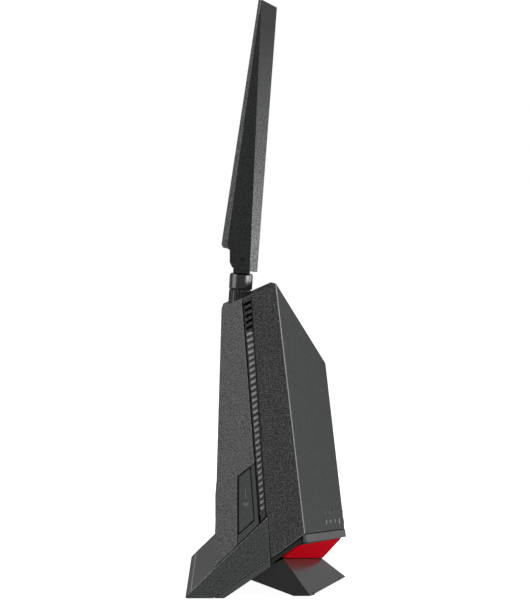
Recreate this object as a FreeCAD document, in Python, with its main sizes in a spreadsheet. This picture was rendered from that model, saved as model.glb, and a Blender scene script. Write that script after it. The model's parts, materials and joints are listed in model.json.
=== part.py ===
import FreeCAD, Part
import math
import os
import re
import Sketcher

# Upright wireless router: a tall wedge-shaped body on a splayed stand, with three folding aerials.
# Frame: origin at the bottom centre, +X along the width, -Y is the front, +Z up. Millimetres.
# Section points are (y, z) pairs in the side view unless a comment says otherwise.

SIZES = {
    # body outline, side view
    "half_width": 121.0, "wall": 2.4, "seam_gap": 0.2,
    "top_front_y": -3.5, "top_front_z": 170.3, "top_rear_y": 25.9, "top_rear_z": 157.2,
    "top_slope": 0.4456, "front_lean": 0.1156,
    "side_low_y": -19.1, "side_low_z": 35.4,
    "ridge_top_y": -33.64, "ridge_top_z": 123.8, "ridge_low_y": -44.68, "ridge_low_z": 28.3,
    "seam_top_y": 9.8, "seam_low_y": 1.9, "seam_low_z": 44.4,
    "chin_rear_y": -0.45, "chin_rear_z": 21.6,
    "rear_start_y": 8.8, "rear_low_y": 30.0, "rear_low_z": 17.0,
    "groove_top_y": 15.1, "groove_low_y": 5.6, "groove_low_z": 40.7, "groove_wide": 0.85,
    # side air vents
    "vent_slots": 35.0, "vent_pitch": 3.24, "vent_slot_tall": 1.7, "vent_spine": 0.3, "vent_first_z": 159.6,
    "vent_thick": 1.0, "ledge_thick": 1.2, "ledge_gap": 2.3, "mesh_thick": 0.8,
    "vent_angle_top": 27.0, "vent_angle_low": 38.0, "vent_recess": 0.5,
    # lower front: trim strip, chin, red insert and front foot
    "trim_tall": 4.2, "trim_deep": 1.8, "trim_proud": 0.35,
    "foot_inset": 12.0, "foot_base_z": 0.6,
    "waist_side_y": -7.8, "waist_side_z": 21.1, "waist_mid_y": -32.0, "waist_mid_z": 11.3,
    "lip_side_y": -17.1, "lip_side_z": 27.8, "lip_mid_y": -42.6, "lip_mid_z": 22.6,
    "toe_side_y": -22.5, "toe_mid_y": -45.4, "heel_side_y": -13.3, "heel_mid_y": -36.0,
    "arch_y": 10.7, "arch_z": 9.6,
    # stand (the sloping rear leg) and its bottom cover
    "leg_top_y": 0.9, "leg_top_z": 44.7, "leg_heel_y": 42.5, "leg_heel_z": 4.4,
    "leg_tip_y": 45.58, "leg_tip_z": 1.3, "leg_low_y": 30.2, "leg_front_y": -0.3, "leg_front_z": 21.5,
    "cover_front_z": 17.6, "cover_low_y": 24.4, "leg_wall": 2.8, "leg_angle": 44.1,
    # side buttons
    "button_proud": 0.1, "button_thick": 3.0,
    # boards
    "board_y": 10.4, "board_thick": 1.6, "board_half": 106.0, "board_low_z": 41.6, "board_top_z": 146.0,
    "port_z": 46.5, "port_face_y": 29.6, "jack_wide": 16.0, "jack_tall": 13.4,
    "plug_wide": 11.8, "plug_tall": 8.4, "plug_deep": 12.5, "lan_pitch": 14.0,
    "usb_wide": 14.6, "usb_tall": 7.2, "usb_skin": 0.9, "usb_deep": 12.0,
    # aerials
    "aerial_x": 96.0, "pin_y": 14.6, "pin_z": 183.4, "aerial_lean": 3.6, "pin_radius": 1.5,
    "collar_radius": 6.35, "collar_top": 7.6, "collar_low": 16.4, "nut_radius": 6.25, "nut_low": 27.8,
    "tongue_half": 3.2, "tongue_radius": 4.6, "shaft_radius": 2.6, "jack_radius": 3.17,
    "cup_radius": 9.2, "pocket_radius": 7.0, "pocket_depth": 29.2,
    "blade_low_z": 175.0, "blade_high_z": 326.0, "blade_half_low": 12.0, "blade_half_high": 10.5,
    "face_half_low": 8.3, "face_half_high": 2.5, "back_half_low": 10.5, "back_half_high": 9.3,
    "face_low_y": 6.6, "face_high_y": -4.7, "edge_low_y": 10.7, "edge_high_y": 4.15,
    "strip_low_y": 24.9, "strip_high_y": 4.25, "back_low_y": 28.5, "back_high_y": 5.55,
    "notch_y": 21.5, "slot_half": 3.6,
    # fasteners: heads, shanks and the posts that hold them
    "head_radius": 2.6, "head_tall": 1.8, "well_radius": 2.75, "screw_radius": 1.35, "post_radius": 3.2,
    "post_x": 112.0, "post_high_z": 150.0, "post_low_z": 88.0, "post_head_y": 22.4, "post_tip_y": 1.0,
    "boss_x": 99.0, "boss_high_z": 114.0, "boss_low_z": 66.0,
    "foot_screw_x": 60.0, "foot_screw_y": -8.0, "foot_head_z": 6.2,
    # front lights
    "light_pitch": 13.7, "light_wide": 0.9, "light_tall": 2.2, "light_deep": 5.0,
}
LIGHTS = 9
NUT_RIBS = 26

doc = FreeCAD.newDocument("Router")
sheet = doc.addObject("Spreadsheet::Sheet", "Sizes")
for row, (alias, number) in enumerate(SIZES.items(), start=1):
    sheet.set(f"A{row}", alias)
    sheet.set(f"B{row}", str(number))
    sheet.setAlias(f"B{row}", alias)
doc.recompute()

NODES = []
YZ_TURN = FreeCAD.Rotation(FreeCAD.Vector(1, 1, 1), 120)  # sketch x along +Y, sketch y along +Z
X_AXIS = FreeCAD.Vector(1, 0, 0)
ALONG = {
    "X": FreeCAD.Rotation(FreeCAD.Vector(0, 1, 0), 90),
    "Y": FreeCAD.Rotation(X_AXIS, -90),
    "Z": FreeCAD.Rotation(),
}


def linked(text):
    """The expression text with every size name pointed at its spreadsheet cell."""
    return re.sub(r"[a-z][a-z_]+", lambda m: "Sizes." + m[0] if m[0] in SIZES else m[0], str(text))


def bind(obj, **texts):
    for prop, text in texts.items():
        obj.setExpression(prop.replace("__", "."), linked(text))
    return obj


def place(obj, x, y, z):
    return bind(obj, Placement__Base__x=x, Placement__Base__y=y, Placement__Base__z=z)


def node(obj, label):
    obj.Label = label
    NODES.append(obj)
    return obj


def sketch(name, points, x="0", flat_z=None):
    """Closed outline through the points: in the side plane at x, or in plan at height flat_z."""
    sk = doc.addObject("Sketcher::SketchObject", name)
    if flat_z is None:
        sk.Placement = FreeCAD.Placement(FreeCAD.Vector(), YZ_TURN)
        bind(sk, Placement__Base__x=x)
    else:
        bind(sk, Placement__Base__z=flat_z)
    count = len(points)
    for i in range(count):
        start, end = (FreeCAD.Vector(i, i * i, 0), FreeCAD.Vector(i + 1, (i + 1) ** 2, 0))
        sk.addGeometry(Part.LineSegment(start, end), False)
    for i in range(count):
        sk.addConstraint(Sketcher.Constraint("Coincident", i, 2, (i + 1) % count, 1))
    for i, pair in enumerate(points):
        for kind, text in zip(("DistanceX", "DistanceY"), pair):
            c = sk.addConstraint(Sketcher.Constraint(kind, -1, 1, i, 1, 1.0))
            sk.setExpression(f"Constraints[{c}]", linked(text))
    return sk


def slab(name, points, width, x="0"):
    """The side-view outline extruded along X, centred on x."""
    solid = doc.addObject("Part::Extrusion", name)
    solid.Base = sketch(name + "_outline", points, x)
    solid.DirMode = "Normal"
    solid.Solid = True
    solid.Symmetric = True
    return bind(solid, LengthFwd=width)


def loft(name, sections):
    """Straight-sided solid through the section sketches."""
    solid = doc.addObject("Part::Loft", name)
    solid.Sections = sections
    solid.Solid = True
    solid.Ruled = True
    return solid


def box(name, size, centre, turn=None):
    """A box by its size and centre; turn is a rotation about its centre."""
    solid = doc.addObject("Part::Box", name)
    bind(solid, Length=size[0], Width=size[1], Height=size[2])
    if turn is None:
        return place(solid, *[f"({c}) - ({s}) / 2" for c, s in zip(centre, size)])
    doc.recompute()
    half = FreeCAD.Vector(solid.Length.Value, solid.Width.Value, solid.Height.Value) * 0.5
    shift = turn.multVec(half)
    solid.Placement.Rotation = turn
    return place(solid, *[f"({c}) - ({s:.6f})" for c, s in zip(centre, shift)])


def rod(name, radius, length, start, along="Z", turn=None):
    """A cylinder from start along an axis."""
    solid = doc.addObject("Part::Cylinder", name)
    solid.Placement = FreeCAD.Placement(FreeCAD.Vector(), turn or ALONG[along])
    bind(solid, Radius=radius, Height=length)
    return place(solid, *start)


def rounded_rod(name, barrel, low_round, top_round):
    """The cylinder with its low and top rims rounded; 0 leaves a rim sharp."""
    made = doc.addObject("Part::Fillet", name)
    made.Base = barrel
    doc.recompute()
    rims = sorted((edge.CenterOfMass.z, i) for i, edge in enumerate(barrel.Shape.Edges, start=1)
                  if edge.Curve.TypeId == "Part::GeomCircle")
    made.Edges = [(i, size, size) for (_, i), size in zip(rims, (low_round, top_round)) if size]
    return made


def screw(name, head_start, shank_start, shank_long, along="Z", turn=None):
    """A pan-head screw: its head, and a plain shank that overlaps the head slightly."""
    return fuse(name, [
        rod(name + "Head", "head_radius", "head_tall", head_start, along, turn),
        rod(name + "Shank", "screw_radius", shank_long, shank_start, along, turn),
    ])


def group(name, parts):
    """Separate solids kept together as one piece."""
    made = doc.addObject("Part::Compound", name)
    made.Links = parts
    return made


def fuse(name, parts):
    made = doc.addObject("Part::MultiFuse", name)
    made.Shapes = parts
    return made


def common(name, parts):
    made = doc.addObject("Part::MultiCommon", name)
    made.Shapes = parts
    return made


def cut(name, base, tools):
    made = doc.addObject("Part::Cut", name)
    made.Base = base
    made.Tool = tools[0] if len(tools) == 1 else group(name + "_tools", tools)
    return made


def inward(name, outline, distance):
    """The outline moved inwards by a wall thickness."""
    made = doc.addObject("Part::Offset2D", name)
    made.Source = outline
    made.Join = 2
    return bind(made, Value=f"-({distance})")


def extruded(name, outline, length, direction=None):
    solid = doc.addObject("Part::Extrusion", name)
    solid.Base = outline
    solid.Solid = True
    if direction is None:
        solid.DirMode = "Normal"
        solid.Symmetric = True
    else:
        solid.DirMode = "Custom"
        solid.Dir = direction
    return bind(solid, LengthFwd=length)


def top_z(y, lower="0"):
    """Height of the sloping top at y."""
    return f"top_front_z - (({y}) - (top_front_y)) * top_slope - ({lower})"


# ------------------------------------------------------------------ front housing
LEAN = FreeCAD.Vector(0, SIZES["front_lean"], 1)
PRISM_LENGTH = 200


def front_prism(name, proud="0", inner="0"):
    """Leaning prism whose plan is a shallow V: two flat facets that meet at the centre ridge."""
    side_y = f"side_low_y - side_low_z * front_lean - ({proud})"
    ridge_y = f"ridge_low_y - ridge_low_z * front_lean - ({proud})"
    reach = "half_width + 0.05"
    plan = sketch(name + "_plan", [
        (f"-({reach})", side_y), ("0", ridge_y), (reach, side_y), (reach, "60"), (f"-({reach})", "60"),
    ], flat_z="0")
    outline = plan if inner == "0" else inward(name + "_inset", plan, inner)
    return extruded(name, outline, PRISM_LENGTH, LEAN)


def front_outline(rear_shift):
    """Side outline of the front shell; rear_shift moves its open rear edge back."""
    return [
        (f"rear_start_y - seam_gap + {rear_shift}", top_z(f"rear_start_y - seam_gap + {rear_shift}")),
        ("top_front_y", "top_front_z"),
        ("ridge_top_y", "ridge_top_z"),
        ("ridge_low_y", "ridge_low_z"),
        ("side_low_y", "side_low_z"),
        (f"chin_rear_y + {rear_shift}", f"chin_rear_z - {rear_shift} * 0.737"),
        (f"leg_top_y - 0.15 + {rear_shift}", "leg_top_z + 0.2"),
        (f"seam_low_y + {rear_shift}", "seam_low_z + 0.9"),
        (f"seam_top_y + {rear_shift}", "top_front_z - 8.3"),
    ]


front_skin = common("FrontSkin", [
    slab("FrontOuter", front_outline(0), "2 * half_width"),
    front_prism("FrontPrism"),
])
cavity_outline = inward("FrontCavityInset", sketch("FrontCavityOutline", front_outline(9)), "wall")
front_cavity = common("FrontCavity", [
    extruded("FrontCavitySlab", cavity_outline, "2 * (half_width - wall)"),
    front_prism("FrontCavityPrism", inner="wall"),
])

TOP_SLOTS, TOP_SLOT_PITCH = 34, 6.2
top_slots = []
for i in range(TOP_SLOTS):
    slot_x = (i - (TOP_SLOTS - 1) / 2) * TOP_SLOT_PITCH
    top_slots.append(box(f"TopSlot{i}", ("3.2", "6.5", "12"), (slot_x, "2.6", "top_front_z - 3")))
POST_SPOTS = [(f"{side} * post_x", z) for side in (-1, 1) for z in ("post_high_z", "post_low_z")]
POST_ROOTS = {"post_high_z": "-5.7", "post_low_z": "-13"}
front_posts = [
    rod("FrontPost", "post_radius", f"rear_start_y - 0.4 - ({POST_ROOTS[z]})", (x, POST_ROOTS[z], z), "Y")
    for x, z in POST_SPOTS
]


def light_spot(i):
    """Centre of light i on the front facets."""
    x = (i - (LIGHTS - 1) / 2) * SIZES["light_pitch"]
    z = 38.0 + abs(x) * 0.06
    facet = (SIZES["ridge_low_y"] - SIZES["side_low_y"]
             - (SIZES["ridge_low_z"] - SIZES["side_low_z"]) * SIZES["front_lean"]) / SIZES["half_width"]
    ridge_y = SIZES["ridge_low_y"] + (z - SIZES["ridge_low_z"]) * SIZES["front_lean"]
    return x, ridge_y - abs(x) * facet, z


light_guides = []
for i in range(LIGHTS):
    x, y, z = light_spot(i)
    light_guides.append(box(f"LightGuide{i}", ("light_wide", "light_deep", "light_tall"),
                            (x, f"{y:.4f} + light_deep / 2 - 0.05", z)))
light_guides = group("LightGuides", light_guides)
seam_relief = box("SeamRelief", ("2 * (half_width - wall - 0.2)", "4", "24"),
                  (0, "rear_start_y - seam_gap + 2", "top_front_z - 8"))
front_open = cut("FrontOpen", front_skin, [front_cavity])
front_shell = fuse("FrontShell", [front_open] + front_posts)
front_screw_holes = [
    rod("FrontScrewHole", "screw_radius", "14", (x, "rear_start_y - 12", z), "Y") for x, z in POST_SPOTS
]
front_tools = top_slots + [light_guides, seam_relief] + front_screw_holes
node(cut("FrontHousing", front_shell, front_tools), "front_housing")
node(light_guides, "light_guides")

# light grey strip under the two facets
trim_band = slab("TrimBand", [
    ("side_low_y + 1", "side_low_z - 1.1"),
    ("side_low_y", "side_low_z - 0.3"),
    ("ridge_low_y - 2", "ridge_low_z - 0.85"),
    ("ridge_low_y - 2", "ridge_low_z - 0.85 - trim_tall"),
    ("side_low_y + 1", "side_low_z - 0.05 - trim_tall"),
], "2 * half_width")
trim_block = common("TrimBlock", [trim_band, front_prism("TrimPrism", "trim_proud")])
node(cut("FrontTrim", trim_block, [front_prism("TrimInside", "trim_proud", "trim_deep")]), "front_trim_strip")

# ------------------------------------------------------------------ chin, insert and front foot
INSET_X = "half_width - foot_inset"


def side_and_middle(name, side_points, middle_points, inset=INSET_X):
    return [
        sketch(name + "_left", side_points, f"-({inset})"),
        sketch(name + "_middle", middle_points, "0"),
        sketch(name + "_right", side_points, inset),
    ]


red_insert = loft("RedInsert", side_and_middle(
    "RedInsert",
    [("lip_side_y", "lip_side_z"), ("waist_side_y", "waist_side_z"),
     ("waist_side_y + 0.85", "waist_side_z + 1.15"), ("lip_side_y + 0.85", "lip_side_z + 1.15")],
    [("lip_mid_y", "lip_mid_z"), ("waist_mid_y", "waist_mid_z"),
     ("waist_mid_y + 1.05", "waist_mid_z + 1.0"), ("lip_mid_y + 1.05", "lip_mid_z + 1.0")],
    INSET_X + " - 0.4",
))
chin_core = loft("ChinCore", side_and_middle(
    "ChinCore",
    [("-19.5", "34.0"), ("-19.6", "29.8"), ("lip_side_y - 0.1", "lip_side_z + 0.4"),
     ("lip_side_y + 1.1", "lip_side_z + 1.4"), ("waist_side_y + 1.2", "waist_side_z + 1.4"),
     ("-0.9", "cover_front_z + 0.4"), ("-0.9", "chin_rear_z - 0.2")],
    [("-42.4", "28.4"), ("-43.2", "24.2"), ("lip_mid_y - 0.1", "lip_mid_z + 0.4"),
     ("lip_mid_y + 1.3", "lip_mid_z + 1.2"), ("waist_mid_y + 1.3", "waist_mid_z + 1.2"),
     ("-0.9", "cover_front_z + 0.4"), ("-0.9", "chin_rear_z - 0.2")],
))
cheek_points = [("-18.0", "33.6"), ("-17.6", "30.4"), ("-5.6", "22.4"), ("-0.9", "18.6"), ("-0.9", "21.2")]
cheeks = [
    slab("ChinCheek", cheek_points, "foot_inset - wall", f"{side} * (half_width - foot_inset / 2 - wall / 2)")
    for side in (-1, 1)
]
foot_screw_xs = ["-foot_screw_x", "foot_screw_x"]
foot_screws = group("FootScrews", [
    screw("FootScrew", (x, "foot_screw_y", "foot_head_z"), (x, "foot_screw_y", "foot_head_z + 1.7"), "14.2")
    for x in foot_screw_xs
])
node(cut("Chin", fuse("ChinBody", [chin_core] + cheeks), [foot_screws, red_insert]), "chin_panel")
node(red_insert, "red_insert")

foot_body = loft("FootBody", side_and_middle(
    "FootBody",
    [("waist_side_y + 0.1", "waist_side_z - 0.2"), ("toe_side_y", "foot_base_z"),
     ("heel_side_y", "foot_base_z"), ("arch_y", "arch_z"), ("-0.7", "cover_front_z - 0.1")],
    [("waist_mid_y + 0.1", "waist_mid_z - 0.2"), ("toe_mid_y", "foot_base_z"),
     ("heel_mid_y", "foot_base_z"), ("arch_y", "arch_z"), ("-0.7", "cover_front_z - 0.1")],
))
PAD_TOP = "foot_base_z + 0.9"
front_pads = group("FrontPads", [
    box("FrontPadLeft", ("22", "4.4", PAD_TOP), (-88, "-22.6", f"({PAD_TOP}) / 2")),
    box("FrontPadMiddle", ("34", "4", PAD_TOP), (0, "-39.4", f"({PAD_TOP}) / 2")),
    box("FrontPadRight", ("22", "4.4", PAD_TOP), (88, "-22.6", f"({PAD_TOP}) / 2")),
])
foot_wells = [rod("FootWell", "well_radius", "foot_head_z + 0.2", (x, "foot_screw_y", "-0.2"))
              for x in foot_screw_xs]
node(cut("FrontFoot", foot_body, [front_pads, foot_screws] + foot_wells), "front_foot")
node(front_pads, "front_rubber_pads")
node(foot_screws, "foot_screws")

# ------------------------------------------------------------------ rear housing
def along_aerial(x, depth):
    """Point on an aerial's leaning axis, depth below its hinge pin."""
    return (x, f"pin_y + sin(aerial_lean) * ({depth})", f"pin_z - cos(aerial_lean) * ({depth})")


AERIAL_TURN = FreeCAD.Rotation(X_AXIS, SIZES["aerial_lean"])
AERIALS = {"left": "-aerial_x", "centre": "0", "right": "aerial_x"}


def rear_outline(front_shift):
    return [
        (f"rear_start_y - {front_shift}", top_z(f"rear_start_y - {front_shift}")),
        ("top_rear_y", "top_rear_z"),
        ("rear_low_y", "rear_low_z"),
        (f"groove_low_y - {front_shift}", f"groove_low_z + {front_shift} * 0.969"),
    ]


rear_outer = slab("RearOuter", rear_outline(0), "2 * half_width")
rear_inset = inward("RearCavityInset", sketch("RearCavityOutline", rear_outline(8)), "wall")
rear_cavity = extruded("RearCavity", rear_inset, "2 * (half_width - wall)")
cups = [
    rod("AerialCup", "cup_radius", "16", along_aerial(x, "pocket_depth + wall"), turn=AERIAL_TURN)
    for x in AERIALS.values()
]
BOARD_BOSSES = [(f"{side} * boss_x", z) for side in (-1, 1) for z in ("boss_low_z", "boss_high_z")]
board_back = "board_y + board_thick"
rear_bosses = [
    rod("BoardBoss", "3", f"rear_low_y - ({board_back})", (x, board_back, z), "Y") for x, z in BOARD_BOSSES
] + [
    rod("RearPost", "post_radius", "20", (x, "rear_start_y + 0.1", z), "Y") for x, z in POST_SPOTS
]
STAND_SCREWS = [-92.0, -32.0, 32.0, 92.0]
LEG_TURN = FreeCAD.Rotation(X_AXIS, -SIZES["leg_angle"])
LEG_FALL = math.tan(math.radians(SIZES["leg_angle"]))
STAND_Y = 20.0
STAND_Z = SIZES["leg_top_z"] - (STAND_Y - SIZES["leg_top_y"]) * LEG_FALL


def on_leg(x, rise):
    """Point above the leg's top face, along that face's normal."""
    angle = math.radians(SIZES["leg_angle"])
    return (x, STAND_Y + rise * math.sin(angle), STAND_Z + rise * math.cos(angle))


stand_bosses = [rod("StandBoss", "3.4", "7.9", on_leg(x, 0.1), turn=LEG_TURN) for x in STAND_SCREWS]
tub = cut("RearTub", rear_outer, [rear_cavity])
inside_parts = common("RearInside", [
    slab("RearTrimOutline", rear_outline(0), "2 * half_width"),
    fuse("RearInsideParts", cups + rear_bosses),
])
rear_body = fuse("RearBody", [tub, inside_parts] + stand_bosses)

# openings in the rear housing
PORTS = {"power": 101.0, "inlet": 85.0, "usb_a": 67.0, "usb_b": 48.0, "wan": 24.0, "fast": 4.0,
         "lan": -40.0, "reset": -84.0}
LAN_PORTS = 4
PORT_SLACK = 0.4


def port_hole(name, x, wide, tall):
    return box(name, (f"{wide} + {PORT_SLACK}", "12", f"{tall} + {PORT_SLACK}"), (x, "port_face_y", "port_z"))


port_holes = [
    port_hole("PowerHole", PORTS["power"], "8", "8"),
    port_hole("InletHole", PORTS["inlet"], "9.4", "11"),
    port_hole("UsbHoleA", PORTS["usb_a"], "usb_wide", "usb_tall"),
    port_hole("UsbHoleB", PORTS["usb_b"], "usb_wide", "usb_tall"),
    port_hole("WanHole", PORTS["wan"], "jack_wide", "jack_tall"),
    port_hole("FastHole", PORTS["fast"], "jack_wide", "jack_tall"),
    port_hole("LanHole", PORTS["lan"], f"lan_pitch * {LAN_PORTS} + 2", "jack_tall"),
    rod("ResetHole", "1.6", "12", (PORTS["reset"], "port_face_y - 6", "port_z"), "Y"),
]
grille_slots = []
for row in range(13):
    for column in range(8):
        grille_x = (column - 3.5) * 23.0 + (row % 2 - 0.5) * 6
        grille_slots.append(box("GrilleSlot", ("17", "12", "2.4"), (grille_x, "28", 70 + row * 5.4),
                                FreeCAD.Rotation(FreeCAD.Vector(0, 1, 0), 14)))
pockets = [
    rod("AerialPocket", "pocket_radius", "24", along_aerial(x, "pocket_depth"), turn=AERIAL_TURN)
    for x in AERIALS.values()
] + [
    rod("AerialHole", "jack_radius + 0.05", "8", along_aerial(x, "pocket_depth + 6"), turn=AERIAL_TURN)
    for x in AERIALS.values()
]
side_windows = []
for side in (-1, 1):
    middle = f"{side} * (half_width - wall / 2 + 1)"
    side_windows.append(slab("VentWindow", [
        ("0", top_z("0") + " + 9"), ("groove_top_y", top_z("groove_top_y") + " + 4"),
        ("groove_top_y", top_z("groove_top_y")), ("groove_low_y", "groove_low_z"),
        ("groove_low_y - 0.6", "groove_low_z - 9"), ("-6", "groove_low_z - 9"),
    ], "wall + 3.4", middle))
    side_windows.append(slab("ButtonWindow", [
        ("4.6", "73.4"), ("8.2", "73.4"), ("17.4", "66.4"), ("17.4", "27"), ("2.5", "38"),
    ], "wall + 4", middle))
board_screws = group("BoardScrews", [
    screw("BoardScrew", (x, "board_y - head_tall", z), (x, "board_y - 0.1", z), "8", "Y")
    for x, z in BOARD_BOSSES
])
housing_screws = group("HousingScrews", [
    screw("HousingScrew", (x, "post_head_y", z), (x, "post_tip_y", z), "post_head_y - post_tip_y + 0.1", "Y")
    for x, z in POST_SPOTS
])
screw_wells = [
    rod("ScrewWell", "well_radius", "12", (x, "post_head_y + head_tall", z), "Y") for x, z in POST_SPOTS
]
stand_screws = group("StandScrews", [
    screw("StandScrew", on_leg(x, -4.6), on_leg(x, -2.9), "9.6", turn=LEG_TURN) for x in STAND_SCREWS
])
node(cut("RearHousing", rear_body,
         port_holes + grille_slots + pockets + side_windows + screw_wells
         + [board_screws, housing_screws, stand_screws]), "rear_housing")
node(board_screws, "board_screws")
node(housing_screws, "housing_screws")
node(stand_screws, "stand_screws")

# ------------------------------------------------------------------ side vents, bezels and buttons
def between(low, high, share):
    return low + (high - low) * share


def vent_edges(z):
    """Front and rear edge of a side vent strip at height z."""
    top_z_value = SIZES["top_front_z"] - 8.3
    share = (z - SIZES["groove_low_z"]) / (top_z_value - SIZES["groove_low_z"])
    front = between(SIZES["seam_low_y"], SIZES["seam_top_y"], share)
    rear = between(SIZES["groove_low_y"], SIZES["groove_top_y"], share) - SIZES["groove_wide"]
    return front, rear


vent_cutters = []
slots = int(SIZES["vent_slots"])
for i in range(slots):
    slot_z = SIZES["vent_first_z"] - i * SIZES["vent_pitch"]
    angle = between(SIZES["vent_angle_top"], SIZES["vent_angle_low"], i / (slots - 1))
    front_y, rear_y = vent_edges(slot_z)
    half_span = (rear_y - front_y) / 2 - SIZES["vent_spine"]
    rise = half_span * math.tan(math.radians(angle))
    middle_y, half_tall = (front_y + rear_y) / 2, SIZES["vent_slot_tall"] / 2
    corners = [(-half_span, rise - half_tall), (half_span, -rise - half_tall),
               (half_span, half_tall - rise), (-half_span, rise + half_tall)]
    outline = [(f"{middle_y + a:.3f}", f"{slot_z + b:.3f}") for a, b in corners]
    vent_cutters.append(slab(f"VentSlot{i}", outline, "2 * half_width + 4"))
vent_cutter = group("VentCutter", vent_cutters)
vent_points = [
    ("seam_top_y + 0.15", "top_front_z - 8.3"), ("rear_start_y", top_z("rear_start_y", "0.1")),
    ("groove_top_y - groove_wide", top_z("groove_top_y - groove_wide", "0.1")),
    ("groove_low_y - groove_wide", "groove_low_z + 1.3"), ("seam_low_y + 0.2", "seam_low_z + 0.2"),
]
mesh_points = [
    ("seam_top_y - 0.85", "top_front_z - 26"), ("groove_top_y - 2.75", "top_front_z - 26"),
    ("groove_low_y - 1.1", "groove_low_z + 4"), ("seam_low_y + 0.4", "groove_low_z + 4"),
]


def by_groove(z, shift):
    """Point at height z, shifted back from the rear edge of the groove behind a vent strip."""
    share = f"({z} - groove_low_z) / (top_front_z - 8.3 - groove_low_z)"
    return (f"groove_low_y + (groove_top_y - groove_low_y) * {share} + ({shift})", z)


LEDGE_TOP, LEDGE_STEP, LEDGE_LOW = "157.5", "75", "groove_low_z + 4.2"
# the ledge closes the groove from inside; it steps back where the button bezel passes
spine_points = [by_groove(LEDGE_TOP, "-1.2"), by_groove(LEDGE_TOP, "-groove_wide"),
                by_groove(LEDGE_LOW, "-groove_wide"), by_groove(LEDGE_LOW, "-1.2")]
ledge_points = [by_groove(LEDGE_TOP, "-1.2"), by_groove(LEDGE_TOP, "1.0"), by_groove(LEDGE_STEP, "1.0"),
                by_groove(LEDGE_STEP, "-0.05"), by_groove(LEDGE_LOW, "-0.05"), by_groove(LEDGE_LOW, "-1.2")]
BUTTON_Y, BUTTON_Z = "12.8", "54"
button_points = [("16.6", "66.2"), ("10.6", "70.8"), ("8.5", "42.8"), ("16.6", "35.5")]
bezel_points = [("8.2", "73.0"), ("5.8", "40.75"), ("17.1", "29.8"), ("17.1", "34.5"), ("8.0", "42.5"),
                ("10.1", "71.6")]
bezel_link_points = [("8.2", "72.6"), ("6.2", "45.4"), ("7.9", "45.4"), ("9.8", "70.8")]
bezel_plate_points = [("7.8", "74.2"), ("6.0", "44.4"), ("18.4", "32.2"), ("18.4", "67.0")]
vent_meshes = []
side_switches = []
for side, sign in (("left", -1), ("right", 1)):
    label = side.capitalize()
    outside = "half_width - vent_recess - vent_thick"
    strip = slab("VentStrip" + label, vent_points, "vent_thick", f"{sign} * ({outside} + vent_thick / 2)")
    strip_body = fuse("VentStripBody" + label, [
        cut("VentStripCut" + label, strip, [vent_cutter]),
        slab("VentSpine" + label, spine_points, "vent_thick + ledge_gap",
             f"{sign} * ({outside} + (vent_thick - ledge_gap) / 2)"),
        slab("VentLedge" + label, ledge_points, "ledge_thick",
             f"{sign} * ({outside} - ledge_gap + ledge_thick / 2)"),
    ])
    node(strip_body, f"vent_strip_{side}")
    vent_meshes.append(slab("VentMesh" + label, mesh_points, "mesh_thick",
                            f"{sign} * ({outside} - 0.1 - mesh_thick / 2)"))
    bezel_body = fuse("BezelBody" + label, [
        slab("BezelRing" + label, bezel_points, "3", f"{sign} * (half_width - 1.5)"),
        slab("BezelLink" + label, bezel_link_points, "2", f"{sign} * (half_width - 3.5)"),
        slab("BezelPlate" + label, bezel_plate_points, "1", f"{sign} * (half_width - 4.5)"),
    ])
    stem_hole = rod("StemHole" + label, "2.2", "4",
                    (f"{sign} * (half_width - 4.5) - 2", BUTTON_Y, BUTTON_Z), "X")
    node(cut("Bezel" + label, bezel_body, [stem_hole]), f"button_bezel_{side}")
    cap = slab("ButtonCap" + label, button_points, "button_thick",
               f"{sign} * (half_width + button_proud - button_thick / 2)")
    stem = rod("ButtonStem" + label, "1.6", "4.6",
               (f"{sign} * (half_width - 5.1) - 2.3", BUTTON_Y, BUTTON_Z), "X")
    node(fuse("Button" + label, [cap, stem]), f"side_button_{side}")
    switch_x = f"{sign} * (board_half + 2.6)"
    side_switches.append(fuse("Switch" + label, [
        box("SwitchBody" + label, ("5.2", "6", "6"), (switch_x, BUTTON_Y, BUTTON_Z)),
        rod("SwitchDome" + label, "1.4", "1.6",
            (f"{sign} * (board_half + 5.9) - 0.8", BUTTON_Y, BUTTON_Z), "X"),
    ]))
node(group("VentMeshes", vent_meshes), "vent_meshes")
node(group("SideSwitches", side_switches), "side_switches")

# ------------------------------------------------------------------ stand
leg_solid = slab("LegSolid", [
    ("leg_top_y", "leg_top_z"), ("leg_heel_y", "leg_heel_z"), ("leg_tip_y", "leg_tip_z"),
    ("leg_tip_y - 0.6", "foot_base_z"), ("leg_low_y", "foot_base_z"), ("leg_front_y", "leg_front_z"),
], "2 * half_width")
leg_hollow = slab("LegHollow", [
    ("leg_top_y + 1.5", "leg_top_z - 5.4"), ("leg_heel_y - 5.2", "leg_heel_z + 1.2"),
    ("leg_low_y - 2.6", "leg_heel_z + 1.2"), ("leg_low_y - 4.6", "2.8"),
    ("leg_top_y + 1.5", "cover_front_z + 1.4"),
], "2 * (half_width - leg_wall)")
rear_pads = group("RearPads", [
    box("RearPadLeft", ("26", "8", PAD_TOP), (-96, "37.5", f"({PAD_TOP}) / 2")),
    box("RearPadRight", ("26", "8", PAD_TOP), (96, "37.5", f"({PAD_TOP}) / 2")),
])
node(cut("StandFrame", leg_solid, [leg_hollow, rear_pads, stand_screws]), "stand_frame")
node(rear_pads, "rear_rubber_pads")
node(slab("StandCover", [
    ("leg_front_y - 0.05", "leg_front_z - 0.3"), ("leg_low_y - 0.5", "foot_base_z"),
    ("cover_low_y", "foot_base_z"), ("leg_front_y - 0.1", "cover_front_z"),
], "2 * half_width"), "stand_cover")

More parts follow.
